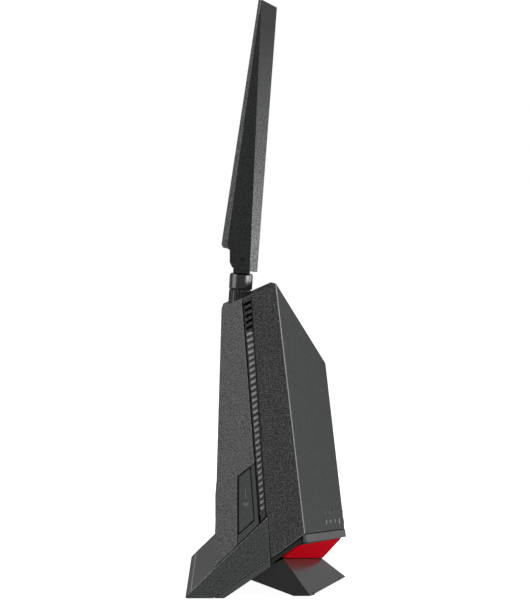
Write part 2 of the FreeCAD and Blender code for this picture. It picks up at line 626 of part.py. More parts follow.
# ------------------------------------------------------------------ boards and cooling
board_slab = box("BoardSlab", ("2 * board_half", "board_thick", "board_top_z - board_low_z"),
                 (0, "board_y + board_thick / 2", "(board_low_z + board_top_z) / 2"))
node(cut("MainBoard", board_slab, [board_screws]), "main_board")
node(box("Processor", ("26", "1.4", "26"), (-14, "board_y - 0.7", "104")), "processor_chip")
node(group("MemoryChips", [
    box("MemoryChip", ("9", "1.0", "13"), (x, "board_y - 0.5", z)) for x in (-88, -76) for z in (84, 108)
]), "memory_chips")
node(group("ShieldCans", [
    box("ShieldCan", ("34", "2.6", "30"), (x, f"{board_back} + 1.3", z)) for x in (-78, 78) for z in (90, 124)
]), "shield_cans")
FIN_PITCH = 10


def heat_sink(name, wide, tall, middle_z, base, fin, fins):
    """Finned plate; base and fin are (depth, middle y), and the fins stand along X."""
    parts = [box(name + "Base", (wide, base[0], tall), (0, base[1], middle_z))]
    for i in range(fins):
        fin_x = (i - (fins - 1) / 2) * FIN_PITCH
        parts.append(box(name + "Fin", ("1.6", fin[0], tall), (fin_x, fin[1], middle_z)))
    return fuse(name, parts)


node(heat_sink("FrontSink", 124, 74, 104, ("2.4", "board_y - 2.6"), ("9.2", "board_y - 8.2"), 13),
     "front_heat_sink")
node(heat_sink("RearSink", 104, 62, 94, ("2", f"{board_back} + 1"), ("6.4", f"{board_back} + 5"), 11),
     "rear_heat_sink")
node(box("LightBoard", ("118", "1.2", "10"), (0, "-25.0", "42.2")), "light_board")
node(box("AerialStrip", ("46", "1", "16"), (62, "-1.5", "57")), "internal_aerial_strip")

# ------------------------------------------------------------------ ports
PORT_DEEP = f"port_face_y - ({board_back}) - 0.1"
PORT_MIDDLE = f"(port_face_y + {board_back} + 0.1) / 2"


def network_block(name, x, width, plugs):
    """Socket block with one stepped plug opening for each x in plugs."""
    block = box(name + "Block", (width, PORT_DEEP, "jack_tall"), (x, PORT_MIDDLE, "port_z"))
    tools = []
    for plug_x in plugs:
        tools.append(box(name + "Mouth", ("plug_wide", "plug_deep + 1", "plug_tall"),
                         (plug_x, "port_face_y - plug_deep / 2 + 0.5", "port_z + 0.6")))
        tools.append(box(name + "Latch", ("6.2", "plug_deep + 1", "2.6"),
                         (plug_x, "port_face_y - plug_deep / 2 + 0.5", "port_z + 0.6 - plug_tall / 2 - 0.6")))
    return cut(name, block, [fuse(name + "Openings", tools)])


node(network_block("WanPort", PORTS["wan"], "jack_wide", [PORTS["wan"]]), "wan_port")
node(network_block("FastPort", PORTS["fast"], "jack_wide", [PORTS["fast"]]), "fast_network_port")
lan_plugs = [f"{PORTS['lan']} + {i - (LAN_PORTS - 1) / 2} * lan_pitch" for i in range(LAN_PORTS)]
node(network_block("LanPorts", PORTS["lan"], f"lan_pitch * {LAN_PORTS} + 2", lan_plugs), "lan_ports")
usb_ports = []
for key in ("usb_a", "usb_b"):
    shell = box("UsbShell", ("usb_wide", PORT_DEEP, "usb_tall"), (PORTS[key], PORT_MIDDLE, "port_z"))
    mouth = box("UsbMouth", ("usb_wide - 2 * usb_skin", "usb_deep + 1", "usb_tall - 2 * usb_skin"),
                (PORTS[key], "port_face_y - usb_deep / 2 + 0.5", "port_z"))
    socket = cut("UsbSocket", shell, [mouth])
    tongue = box("UsbTongue", ("11", "usb_deep - 1.4", "1.0"),
                 (PORTS[key], "port_face_y - usb_deep / 2 - 0.8", "port_z + 1.6"))
    usb_ports.append(fuse("UsbPort", [socket, tongue]))
node(group("UsbPorts", usb_ports), "usb_ports")
inlet_block = box("InletBlock", ("9.4", PORT_DEEP, "11"), (PORTS["inlet"], PORT_MIDDLE, "port_z"))
inlet_bore = rod("InletBore", "3.15", "11", (PORTS["inlet"], "port_face_y - 10", "port_z"), "Y")
inlet_pin = rod("InletPin", "1.0", "9", (PORTS["inlet"], "port_face_y - 10.4", "port_z"), "Y")
node(fuse("Inlet", [cut("InletBarrel", inlet_block, [inlet_bore]), inlet_pin]), "power_inlet")

# rear push buttons: each cap sits on its own switch
node(group("RearSwitches", [
    box("PowerSwitch", ("7.4", "8", "8"), (PORTS["power"], f"{board_back} + 4.1", "port_z")),
    box("ResetSwitch", ("6", "7", "6"), (PORTS["reset"], f"{board_back} + 3.6", "port_z")),
]), "rear_switches")
node(fuse("PowerButton", [
    rod("PowerCap", "3.4", "6", (PORTS["power"], "port_face_y - 6.3", "port_z"), "Y"),
    rod("PowerStem", "1.5", "1.6", (PORTS["power"], "port_face_y - 7.7", "port_z"), "Y"),
]), "power_button")
node(rod("ResetButton", "1.25", "8", (PORTS["reset"], "port_face_y - 8.7", "port_z"), "Y"), "reset_button")

# ------------------------------------------------------------------ aerials
def blade_section(name, x, end, height):
    """Eight-sided plan section of the blade at its low or high end."""
    half, face, back = (f"blade_half_{end}", f"face_half_{end}", f"back_half_{end}")
    rows = [(face, f"face_{end}_y"), (half, f"edge_{end}_y"),
            (half, f"strip_{end}_y"), (back, f"back_{end}_y")]
    points = [(f"{x} + {w}", y) for w, y in rows] + [(f"{x} - {w}", y) for w, y in reversed(rows)]
    return sketch(name, points, flat_z=height)


nuts = []
jacks = []
ring_nuts = []
for side, x in AERIALS.items():
    label = side.capitalize()
    stock = loft("BladeStock" + label, [
        blade_section("BladeLow" + label, x, "low", "blade_low_z"),
        blade_section("BladeHigh" + label, x, "high", "blade_high_z"),
    ])
    front_profile = slab("BladeProfile" + label, [
        ("-4.32", "320.6"), ("4.35", "324.4"), ("22.75", "190.5"), ("notch_y", "189.7"),
        ("notch_y", "181.8"), ("20.4", "179.4"), ("18.3", "178.3"), ("6.5", "176.4"),
    ], "26", x)
    back_profile = slab("BackProfile" + label, [
        ("4.45", "324.5"), ("5.85", "325"), ("26.2", "191.4"), ("22.85", "190.7"),
    ], "26", x)
    hinge_slot = box("HingeSlot" + label, ("2 * slot_half", "40", "16"), (x, "pin_y", "pin_z - 1"))
    pin_bore = rod("PinBore" + label, "pin_radius + 0.05", "17", (f"{x} - 8.5", "pin_y", "pin_z"), "X")
    board_room = box("BoardRoom" + label, ("9", "22", "104"), (x, "17.2", "254"),
                     FreeCAD.Rotation(X_AXIS, 5.9))
    node(cut("Blade" + label, common("BladeFront" + label, [stock, front_profile]),
             [hinge_slot, pin_bore, board_room]), f"aerial_blade_{side}")
    node(common("BladeBack" + label, [stock, back_profile]), f"aerial_back_{side}")
    node(box("Radiator" + label, ("8", "0.8", "100"), (x, "7.0", "254"), FreeCAD.Rotation(X_AXIS, 5.9)),
         f"aerial_radiator_{side}")

    barrel = rod("CollarBarrel" + label, "collar_radius", "collar_low - collar_top",
                 along_aerial(x, "collar_low"), turn=AERIAL_TURN)
    rounded = rounded_rod("CollarRounded" + label, barrel, 0.7, 1.4)
    tongue_stem = box("TongueStem" + label, ("2 * tongue_half", "2 * tongue_radius", "collar_top + 1"),
                      along_aerial(x, "(collar_top + 1) / 2"), AERIAL_TURN)
    tongue_eye = rod("TongueEye" + label, "tongue_radius", "2 * tongue_half",
                     (f"{x} - tongue_half", "pin_y", "pin_z"), "X")
    shaft = rod("Shaft" + label, "shaft_radius", "4.2", along_aerial(x, "collar_low + 4.1"), turn=AERIAL_TURN)
    pin = rod("HingePin" + label, "pin_radius", "16", (f"{x} - 8", "pin_y", "pin_z"), "X")
    node(cut("Collar" + label, fuse("CollarBody" + label, [rounded, tongue_stem, tongue_eye, shaft]), [pin]),
         f"aerial_collar_{side}")
    node(pin, f"aerial_pin_{side}")

    nut_barrel = rod("NutBarrel" + label, "nut_radius", "nut_low - collar_low - 0.2",
                     along_aerial(x, "nut_low"), turn=AERIAL_TURN)
    nut_body = rounded_rod("NutBody" + label, nut_barrel, 0, 1.0)
    nut_tools = [
        rod("NutBore" + label, "shaft_radius + 0.05", "14", along_aerial(x, "nut_low + 1"), turn=AERIAL_TURN),
        rod("NutThread" + label, "jack_radius + 0.03", "8", along_aerial(x, "nut_low + 1"), turn=AERIAL_TURN),
    ]
    for rib in range(NUT_RIBS):
        turn = math.radians(360 / NUT_RIBS * rib)
        reach = SIZES["nut_radius"] + 0.1
        side_x, side_y = reach * math.cos(turn), reach * math.sin(turn)
        spot = along_aerial(f"{x} + {side_x:.4f}", "nut_low + 0.5")
        lean = math.radians(SIZES["aerial_lean"])
        nut_tools.append(rod(f"NutGroove{label}{rib}", "0.42", "11.2",
                             (spot[0], f"{spot[1]} + {side_y * math.cos(lean):.4f}",
                              f"{spot[2]} + {side_y * math.sin(lean):.4f}"), turn=AERIAL_TURN))
    nuts.append(cut("Nut" + label, nut_body, [fuse("NutTools" + label, nut_tools)]))
    jacks.append(fuse("Jack" + label, [
        rod("JackThread" + label, "jack_radius", "16", along_aerial(x, "37.6"), turn=AERIAL_TURN),
        rod("JackFlange" + label, "5", "2.4", along_aerial(x, "pocket_depth + wall + 2.5"), turn=AERIAL_TURN),
        rod("JackTail" + label, "1.6", "5", along_aerial(x, "42"), turn=AERIAL_TURN),
    ]))
    ring = rod("RingNutBody" + label, "5.2", "1.2", along_aerial(x, "pocket_depth"), turn=AERIAL_TURN)
    ring_hole = rod("RingNutHole" + label, "jack_radius", "4", along_aerial(x, "pocket_depth + 1"),
                    turn=AERIAL_TURN)
    ring_nuts.append(cut("RingNut" + label, ring, [ring_hole]))
node(group("Nuts", nuts), "aerial_nuts")
node(group("Jacks", jacks), "aerial_jacks")
node(group("RingNuts", ring_nuts), "jack_ring_nuts")

# coaxial leads from the jacks to the main board
CABLE_RADIUS = 0.9
BEND_RADIUS = 3.0
LEAD_Z = 128.0
BEND_TURN = FreeCAD.Rotation(FreeCAD.Vector(0, 0, 1), 90) * FreeCAD.Rotation(X_AXIS, -90)
leads = []
for x in AERIALS.values():
    tail_y = SIZES["pin_y"] + math.sin(math.radians(SIZES["aerial_lean"])) * 42.0
    tail_z = SIZES["pin_z"] - math.cos(math.radians(SIZES["aerial_lean"])) * 42.0
    drop = rod("LeadDrop", CABLE_RADIUS, f"{tail_z:.3f} - 0.15 - {LEAD_Z + BEND_RADIUS}",
               (x, f"{tail_y:.3f}", LEAD_Z + BEND_RADIUS))
    bend = doc.addObject("Part::Torus", "LeadBend")
    bind(bend, Radius1=BEND_RADIUS, Radius2=CABLE_RADIUS)
    bend.Angle3 = 90
    bend.Placement.Rotation = BEND_TURN
    place(bend, x, f"{tail_y:.3f} - {BEND_RADIUS}", LEAD_Z + BEND_RADIUS)
    run = rod("LeadRun", CABLE_RADIUS, f"{tail_y:.3f} - {BEND_RADIUS} - ({board_back})",
              (x, board_back, LEAD_Z), "Y")
    leads.append(fuse("Lead", [drop, bend, run]))
node(group("Leads", leads), "aerial_leads")

# ------------------------------------------------------------------ check and write
doc.recompute()
broken = [o.Name for o in doc.Objects if "Invalid" in o.State or "Error" in o.State]
if broken:
    raise SystemExit("failed objects: " + ", ".join(broken))
for piece in NODES:
    if piece.Shape.isNull() or not piece.Shape.isValid():
        raise SystemExit("bad shape: " + piece.Label)
os.makedirs("parts", exist_ok=True)
for piece in NODES:
    piece.Shape.exportStep(f"parts/{piece.Label}.step")
whole = Part.makeCompound([piece.Shape for piece in NODES])
print(len(NODES), "pieces", whole.BoundBox)
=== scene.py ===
import json
import math

import bmesh
import bpy
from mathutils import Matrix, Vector
from mathutils.bvhtree import BVHTree


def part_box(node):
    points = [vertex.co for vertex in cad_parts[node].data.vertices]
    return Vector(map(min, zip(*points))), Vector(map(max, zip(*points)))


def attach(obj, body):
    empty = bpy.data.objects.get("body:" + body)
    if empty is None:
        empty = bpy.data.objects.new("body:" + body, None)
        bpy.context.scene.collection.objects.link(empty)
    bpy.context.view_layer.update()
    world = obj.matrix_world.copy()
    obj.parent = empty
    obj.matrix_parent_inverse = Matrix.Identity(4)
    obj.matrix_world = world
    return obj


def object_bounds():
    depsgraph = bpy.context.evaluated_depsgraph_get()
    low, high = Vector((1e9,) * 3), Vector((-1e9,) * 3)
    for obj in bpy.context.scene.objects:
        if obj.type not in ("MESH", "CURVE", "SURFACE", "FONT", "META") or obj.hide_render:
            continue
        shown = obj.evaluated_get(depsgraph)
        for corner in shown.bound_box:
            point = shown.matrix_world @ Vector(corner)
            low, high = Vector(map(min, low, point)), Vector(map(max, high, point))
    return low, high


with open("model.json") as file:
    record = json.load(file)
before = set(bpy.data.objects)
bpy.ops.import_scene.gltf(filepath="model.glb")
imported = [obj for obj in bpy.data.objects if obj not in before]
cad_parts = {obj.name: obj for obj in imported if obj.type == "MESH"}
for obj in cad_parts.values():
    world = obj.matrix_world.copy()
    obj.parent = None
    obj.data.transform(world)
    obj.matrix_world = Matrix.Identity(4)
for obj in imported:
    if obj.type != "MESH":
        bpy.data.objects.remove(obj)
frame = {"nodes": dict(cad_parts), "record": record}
CAD_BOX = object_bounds()
NODES = frame["nodes"]
MM = 0.001
SIDES = ("left", "centre", "right")


def srgb(red, green, blue):
    """Linear colour of an 8-bit display colour."""
    def straight(value):
        share = value / 255
        return share / 12.92 if share <= 0.04045 else ((share + 0.055) / 1.055) ** 2.4
    return (straight(red), straight(green), straight(blue), 1.0)


def grey(value):
    """Linear grey with a faint lean to blue."""
    return (value, value, value * 1.01, 1.0)


# ------------------------------------------------------------------ materials
ASKEW = (0.5, 0.7, 0.3)  # radians the noise is turned by, so no face lies on its lattice planes

# windows of one part of a surface normal, over which one shade gives way to another
FLAT_FLANK = (0.93, 0.985)  # sideways
ROLL_BEGINS, ROLL_ENDS = (0.3, 0.38), (0.89, 0.94)  # sideways
ROLL_FRONT, ROLL_LEVEL = (-0.45, -0.3), (0.25, 0.35)  # backward, and up or down
LIP_LEVEL = (0.35, 0.6)  # up or down
BLADE_BACK, BLADE_BEVEL = (0.2, 0.35), (-0.6, -0.45)  # backward


class Finish:
    """A node material built around one Principled shader, in the object's own coordinates."""

    def __init__(self, name, **sockets):
        self.material = bpy.data.materials.new(name)
        self.material.use_nodes = True
        self.tree = self.material.node_tree
        self.shader = self.tree.nodes["Principled BSDF"]
        for socket, value in sockets.items():
            self.shader.inputs[socket.replace("_", " ")].default_value = value
        self.place = self.add("ShaderNodeTexCoord").outputs["Object"]
        self.facing = self.add("ShaderNodeTexCoord").outputs["Normal"]
        turn = self.add("ShaderNodeMapping")
        turn.inputs["Rotation"].default_value = ASKEW
        self.wire(self.place, turn.inputs["Vector"])
        self.askew = turn.outputs["Vector"]
        self.last_bump = None

    def add(self, kind, **settings):
        made = self.tree.nodes.new(kind)
        for key, value in settings.items():
            setattr(made, key, value)
        return made

    def wire(self, source, target):
        self.tree.links.new(source, target)

    def noise(self, scale, detail=2.0, stretch=None):
        """Noise of about 1/scale metres; stretch squeezes it per axis, as in a brushed surface."""
        made = self.add("ShaderNodeTexNoise")
        made.inputs["Scale"].default_value = scale
        made.inputs["Detail"].default_value = detail
        source = self.askew
        if stretch:
            squeeze = self.add("ShaderNodeMapping")
            squeeze.inputs["Scale"].default_value = stretch
            self.wire(self.place, squeeze.inputs["Vector"])
            source = squeeze.outputs["Vector"]
        self.wire(source, made.inputs["Vector"])
        return made.outputs["Fac"]

    def cells(self, scale, output="Distance"):
        made = self.add("ShaderNodeTexVoronoi", feature="F1")
        made.inputs["Scale"].default_value = scale
        self.wire(self.askew, made.inputs["Vector"])
        return made.outputs[output]

    def maths(self, operation, first, second=None):
        made = self.add("ShaderNodeMath", operation=operation)
        for i, value in enumerate((first, second)):
            if value is None:
                continue
            if isinstance(value, (int, float)):
                made.inputs[i].default_value = value
            else:
                self.wire(value, made.inputs[i])
        return made.outputs[0]

    def ramp(self, source, stops):
        """Colour ramp through (position, colour) stops."""
        made = self.add("ShaderNodeValToRGB")
        elements = made.color_ramp.elements
        while len(elements) < len(stops):
            elements.new(0.5)
        for element, (position, colour) in zip(elements, stops):
            element.position = position
            element.color = colour
        self.wire(source, made.inputs["Fac"])
        return made.outputs["Color"]

    def spread(self, source, low, high, start=0.3, end=0.7):
        """The source's range start..end as low..high."""
        made = self.add("ShaderNodeMapRange")
        made.inputs["From Min"].default_value = start
        made.inputs["From Max"].default_value = end
        made.inputs["To Min"].default_value = low
        made.inputs["To Max"].default_value = high
        self.wire(source, made.inputs["Value"])
        return made.outputs["Result"]

    def mix(self, share, first, second):
        """First colour where the share is 0, second where it is 1."""
        made = self.add("ShaderNodeMix", data_type="RGBA")
        factor, colour_a, colour_b = made.inputs[0], made.inputs[6], made.inputs[7]
        self.wire(share, factor)
        for socket, value in ((colour_a, first), (colour_b, second)):
            if isinstance(value, tuple):
                socket.default_value = value
            else:
                self.wire(value, socket)
        return made.outputs[2]

    def tint(self, colour, factor):
        """The colour made lighter or darker by a varying factor."""
        made = self.add("ShaderNodeVectorMath", operation="SCALE")
        self.wire(colour, made.inputs[0])
        self.wire(factor, made.inputs["Scale"])
        return made.outputs[0]

    def split(self, source):
        """The three parts of a vector or colour."""
        made = self.add("ShaderNodeSeparateXYZ")
        self.wire(source, made.inputs[0])
        return made.outputs

    def sideways(self):
        """1 on surfaces that face left or right, 0 elsewhere."""
        lean = self.maths("ABSOLUTE", self.split(self.facing)[0])
        return self.spread(lean, 0.0, 1.0, *FLAT_FLANK)

    def edge_highlight_mask(self, forward=False):
        """1 on the rolled edges between a flank and its upper and lower neighbours, or the one in
        front of it, where a lighter colour is painted on as a highlight."""
        sideways, backward, upward = self.split(self.facing)[0:3]
        lean = self.maths("ABSOLUTE", sideways)
        rolled = self.maths("MULTIPLY", self.spread(lean, 0.0, 1.0, *ROLL_BEGINS),
                            self.spread(lean, 1.0, 0.0, *ROLL_ENDS))
        if forward:
            chosen = self.spread(backward, 1.0, 0.0, *ROLL_FRONT)
        else:
            chosen = self.spread(self.maths("ABSOLUTE", upward), 0.0, 1.0, *ROLL_LEVEL)
        return self.maths("MULTIPLY", rolled, chosen)

    def colour(self, source):
        self.wire(source, self.shader.inputs["Base Color"])

    def rough(self, source):
        self.wire(source, self.shader.inputs["Roughness"])

    def bump(self, height, depth, strength):
        """Adds relief of the given depth in metres on top of any relief so far."""
        made = self.add("ShaderNodeBump")
        made.inputs["Strength"].default_value = strength
        made.inputs["Distance"].default_value = depth
        self.wire(height, made.inputs["Height"])
        if self.last_bump is not None:
            self.wire(self.last_bump, made.inputs["Normal"])
        self.last_bump = made.outputs["Normal"]
        self.wire(self.last_bump, self.shader.inputs["Normal"])


def scaled(colour, factor):
    """The colour made lighter or darker by a fixed factor."""
    return tuple(channel * factor for channel in colour[:3]) + (1.0,)


def grained(name, colour, contrast, rough, grain=1500.0, depth=0.06 * MM, specular=0.5,
            flank=None, edge=None, lip=None):
    """Moulded plastic with a spark-eroded grain: the colour, gloss and relief all vary with it.
    flank is the colour of the surfaces that face left and right, which is painted shade on the
    stand and the foot; edge is a painted highlight on the rolled edges beside them, and lip is
    painted shade on the surfaces that face up and down, where they differ."""
    finish = Finish(name, Specular_IOR_Level=specular)
    fine = finish.noise(grain, 1.0)
    patchy = finish.spread(finish.noise(35.0, 3.0), 0.0, 0.25)
    base = finish.mix(patchy, colour, scaled(colour, 0.88))
    if flank:
        base = finish.mix(finish.sideways(), base, flank)
    # painted highlight on the rolled edges
    if edge:
        base = finish.mix(finish.edge_highlight_mask(forward=lip is not None), base, edge)
    # painted shade on the faces that point up or down
    if lip:
        level = finish.maths("ABSOLUTE", finish.split(finish.facing)[2])
        base = finish.mix(finish.spread(level, 0.0, 1.0, *LIP_LEVEL), base, lip)
    finish.colour(finish.tint(base, finish.spread(fine, 1 - contrast, 1 + contrast, 0.32, 0.68)))
    finish.rough(finish.spread(fine, rough - 0.06, rough + 0.08))
    finish.bump(fine, depth, 0.35)
    finish.bump(finish.noise(grain * 0.3, 2.0), depth, 0.2)
    return finish


def front_shell():
    """Front shell: coarse glittering grain on its flanks, a smoother one on its facets, and a
    painted highlight along its rolled front edges.
    """
    finish = Finish("front_shell_finish", Specular_IOR_Level=0.24)
    flank_shade, facet_shade, edge_highlight_shade = srgb(56, 56, 57), srgb(47, 49, 49), srgb(134, 135, 135)
    coarse = finish.noise(2000.0, 2.0)
    flecks = finish.split(finish.cells(1900.0, output="Color"))[0]
    glint = finish.spread(flecks, 0.0, 0.55, 0.86, 0.97)
    flank = finish.ramp(coarse, [(0.4, scaled(flank_shade, 0.3)), (0.5, scaled(flank_shade, 0.9)),
                                 (0.61, scaled(flank_shade, 2.3))])
    flank = finish.mix(glint, flank, scaled(flank_shade, 2.8))
    fine = finish.noise(1500.0, 1.0)
    facet = finish.ramp(fine, [(0.4, scaled(facet_shade, 0.35)), (0.6, scaled(facet_shade, 1.65))])
    on_flank = finish.sideways()
    moulded = finish.mix(on_flank, facet, flank)
    # painted highlight: a light colour on the rolled edges between the flank and the facets
    finish.colour(finish.mix(finish.edge_highlight_mask(forward=True), moulded, edge_highlight_shade))
    finish.rough(finish.spread(coarse, 0.42, 0.62))
    finish.bump(finish.maths("MULTIPLY", coarse, on_flank), 0.12 * MM, 0.4)
    finish.bump(fine, 0.03 * MM, 0.3)
    return finish


AERIAL_FOOT, AERIAL_TIP = 0.175, 0.325  # heights of the two ends, with the aerials up


def aerial_plastic():
    """Aerial shells: dark grained flanks, a rear strip lightened with painted light, and a satin
    front bevel whose painted highlight is lightest at its foot and fades towards the tip.
    """
    finish = Finish("aerial_finish", Specular_IOR_Level=0.22)
    fine = finish.noise(1600.0, 1.5)
    towards_rear = finish.split(finish.facing)[1]
    height = finish.split(finish.place)[2]
    # painted highlight down the front bevel, light at the foot and dark at the tip
    bevel = finish.ramp(finish.spread(height, 0.0, 1.0, AERIAL_FOOT, AERIAL_TIP),
                        [(0.1, srgb(112, 113, 114)), (0.45, srgb(74, 75, 76)),
                         (0.9, srgb(14, 15, 16))])
    # the rear strip is made lighter than the flanks as painted light
    flank_shade, back_painted_light = srgb(35, 36, 37), srgb(86, 87, 88)
    shade = finish.mix(finish.spread(towards_rear, 0.0, 1.0, *BLADE_BACK), flank_shade, back_painted_light)
    shade = finish.mix(finish.spread(towards_rear, 1.0, 0.0, *BLADE_BEVEL), shade, bevel)
    finish.colour(finish.tint(shade, finish.spread(fine, 0.3, 1.7, 0.35, 0.65)))
    finish.rough(finish.spread(fine, 0.4, 0.54))
    finish.bump(fine, 0.06 * MM, 0.35)
    finish.bump(finish.noise(450.0, 2.0), 0.05 * MM, 0.2)
    return finish


def red_satin():
    """Red insert: nearly without gloss, so that its colour stays deep."""
    finish = Finish("red_insert_finish", Specular_IOR_Level=0.01, IOR=1.06)
    red = srgb(222, 11, 31)
    mottle = finish.noise(260.0, 4.0)
    finish.colour(finish.ramp(mottle, [(0.35, scaled(red, 0.92)), (0.65, red)]))
    finish.rough(finish.spread(mottle, 0.3, 0.4))
    finish.bump(finish.noise(1800.0, 1.0), 0.02 * MM, 0.3)
    return finish


def polished(name, colour, rough, wear=0.05, specular=0.25):
    """Polished moulding with faint handling marks in its gloss."""
    finish = Finish(name, Coat_Weight=1.0, Coat_Roughness=0.22, Specular_IOR_Level=specular)
    smear = finish.noise(180.0, 5.0, (1.0, 1.0, 0.25))
    finish.colour(finish.ramp(smear, [(0.3, scaled(colour, 0.85)), (0.7, scaled(colour, 1.15))]))
    finish.rough(finish.spread(smear, rough, rough + wear))
    finish.bump(finish.noise(2400.0, 1.0), 0.008 * MM, 0.25)
    return finish


def metal(name, colour, rough, stretch=(1.0, 1.0, 12.0), grain=900.0):
    """Drawn or brushed metal."""
    finish = Finish(name, Metallic=1.0)
    lines = finish.noise(grain, 3.0, stretch)
    finish.colour(finish.ramp(lines, [(0.3, scaled(colour, 0.8)), (0.7, colour)]))
    finish.rough(finish.spread(lines, rough - 0.06, rough + 0.1))
    finish.bump(lines, 0.02 * MM, 0.25)
    return finish


def woven_mesh():
    """Light grey dust mesh: two crossing sets of threads."""
    finish = Finish("dust_mesh_finish", Specular_IOR_Level=0.3)
    threads = []
    for direction in ("Y", "Z"):
        wave = finish.add("ShaderNodeTexWave", bands_direction=direction)
        wave.inputs["Scale"].default_value = 900.0
        wave.inputs["Distortion"].default_value = 0.3
        finish.wire(finish.place, wave.inputs["Vector"])
        threads.append(wave.outputs["Fac"])
    cloth = finish.maths("MAXIMUM", threads[0], threads[1])
    finish.colour(finish.ramp(cloth, [(0.2, grey(0.42)), (0.8, grey(0.8))]))
    finish.rough(finish.spread(cloth, 0.5, 0.75, 0.0, 1.0))
    finish.bump(cloth, 0.2 * MM, 0.6)
    return finish


def circuit_board():
    """Green solder mask over copper tracks, with plated through holes."""
    finish = Finish("circuit_board_finish", Coat_Weight=0.4, Coat_Roughness=0.2)
    tracks = finish.add("ShaderNodeTexBrick")
    tracks.inputs["Scale"].default_value = 240.0
    tracks.inputs["Mortar Size"].default_value = 0.06
    tracks.inputs["Color1"].default_value = (0.008, 0.07, 0.032, 1.0)
    tracks.inputs["Color2"].default_value = (0.01, 0.085, 0.04, 1.0)
    tracks.inputs["Mortar"].default_value = (0.03, 0.17, 0.085, 1.0)
    finish.wire(finish.place, tracks.inputs["Vector"])
    holes = finish.cells(150.0)
    plated = finish.spread(holes, 1.0, 0.0, 0.1, 0.13)
    finish.colour(finish.mix(plated, tracks.outputs["Color"], (0.5, 0.36, 0.12, 1.0)))
    finish.rough(finish.spread(finish.noise(400.0), 0.3, 0.45))
    finish.bump(tracks.outputs["Fac"], 0.03 * MM, 0.4)
    return finish


def milky_guide():
    """Milky light guide, unlit."""
    finish = Finish("light_guide_finish", Subsurface_Weight=0.25)
    cloud = finish.noise(700.0, 3.0)
    finish.colour(finish.ramp(cloud, [(0.3, (0.2, 0.2, 0.195, 1.0)),
                                      (0.7, (0.28, 0.28, 0.275, 1.0))]))
    finish.rough(finish.spread(cloud, 0.25, 0.4))
    finish.bump(cloud, 0.01 * MM, 0.3)
    return finish


def printed(name, shade):
    """Pad-printed ink."""
    finish = Finish(name, Specular_IOR_Level=0.3)
    ink = finish.noise(1600.0, 2.0)
    finish.colour(finish.ramp(ink, [(0.3, grey(shade)), (0.6, grey(shade * 1.4))]))
    finish.rough(finish.spread(ink, 0.45, 0.65))
    finish.bump(ink, 0.01 * MM, 0.3)
    return finish


def label_film():
    """Blank satin foil label."""
    finish = Finish("label_finish")
    fibre = finish.noise(420.0, 4.0, (1.0, 6.0, 6.0))
    finish.colour(finish.ramp(fibre, [(0.3, grey(0.28)), (0.7, grey(0.36))]))
    finish.rough(finish.spread(fibre, 0.3, 0.42))
    finish.bump(fibre, 0.015 * MM, 0.3)
    return finish


FINISHES = {
    "front_shell_plastic": front_shell(),
    "rear_shell_plastic": grained("rear_shell_finish", srgb(85, 85, 86), 0.85, 0.55, 2100.0),
    # stand: its flanks get painted shade and its rolled edges a painted highlight
    "stand_plastic": grained("stand_finish", srgb(73, 75, 74), 0.9, 0.5, 1900.0,
                             flank=srgb(57, 59, 58), edge=srgb(112, 113, 113)),
    "dark_plastic": grained("dark_plastic_finish", srgb(24, 25, 26), 0.3, 0.5, 1500.0),
    "cover_plastic": grained("stand_cover_finish", srgb(66, 68, 68), 0.15, 0.5, 1700.0),
    # foot: its flanks get painted shade
    "foot_plastic": grained("foot_finish", srgb(42, 43, 43), 0.3, 0.26, 2200.0, 0.04 * MM, 0.6,
                            flank=srgb(26, 27, 27)),
    # trim: painted highlight on its rolled front edges and painted shade on its faces that point up
    # or down
    "trim_plastic": grained("trim_finish", srgb(70, 71, 71), 0.12, 0.45, 2300.0, 0.03 * MM,
                            edge=srgb(150, 151, 151), lip=srgb(12, 12, 12)),
    "button_plastic": grained("button_finish", srgb(62, 64, 63), 0.3, 0.5, 1800.0, 0.04 * MM),
    # painted shade on the walls in the gap round the button, and as light as the shell on the outer
    # face
    "side_button_plastic": grained("side_button_finish", srgb(10, 10, 10), 0.3, 0.5, 1500.0,
                                   0.04 * MM, flank=srgb(63, 65, 64)),
    "bezel_plastic": grained("bezel_finish", srgb(10, 10, 10), 0.3, 0.5, 1500.0, 0.04 * MM,
                             flank=srgb(62, 64, 64)),
    "red_plastic": red_satin(),
    "mesh_grey": woven_mesh(),
    "rubber_black": grained("rubber_finish", srgb(38, 38, 38), 0.25, 0.8, 900.0, 0.1 * MM, 0.25),
    "light_guide": milky_guide(),
    "circuit_board": circuit_board(),
    "chip_black": grained("chip_finish", srgb(34, 34, 36), 0.3, 0.45, 1300.0, 0.03 * MM),
    "tinned_steel": metal("tinned_steel_finish", (0.55, 0.56, 0.56, 1.0), 0.32,
                          (1.0, 1.0, 5.0), 500.0),
    "sink_aluminium": metal("sink_aluminium_finish", (0.6, 0.61, 0.62, 1.0), 0.38),
    "socket_plastic": grained("socket_finish", srgb(40, 40, 42), 0.2, 0.4, 1500.0, 0.03 * MM),
    "socket_blue": grained("blue_socket_finish", srgb(20, 62, 140), 0.15, 0.4, 1500.0, 0.03 * MM),
    "socket_steel": metal("socket_steel_finish", (0.62, 0.62, 0.6, 1.0), 0.25,
                          (1.0, 8.0, 1.0), 600.0),
    "thread_brass": metal("brass_finish", (0.62, 0.46, 0.2, 1.0), 0.3, (1.0, 1.0, 20.0), 500.0),
    "aerial_gloss": polished("aerial_gloss_finish", srgb(16, 17, 18), 0.22, specular=0.8),
    "aerial_ribs": polished("aerial_nut_finish", srgb(17, 18, 19), 0.3, 0.1),
    "aerial_plastic": aerial_plastic(),
    "lead_jacket": polished("lead_finish", srgb(36, 36, 36), 0.4, 0.1),
    "screw_steel": metal("screw_finish", (0.26, 0.26, 0.27, 1.0), 0.35, (1.0, 4.0, 1.0), 700.0),
}
PRINTED = printed("printed_mark_finish", 0.3)
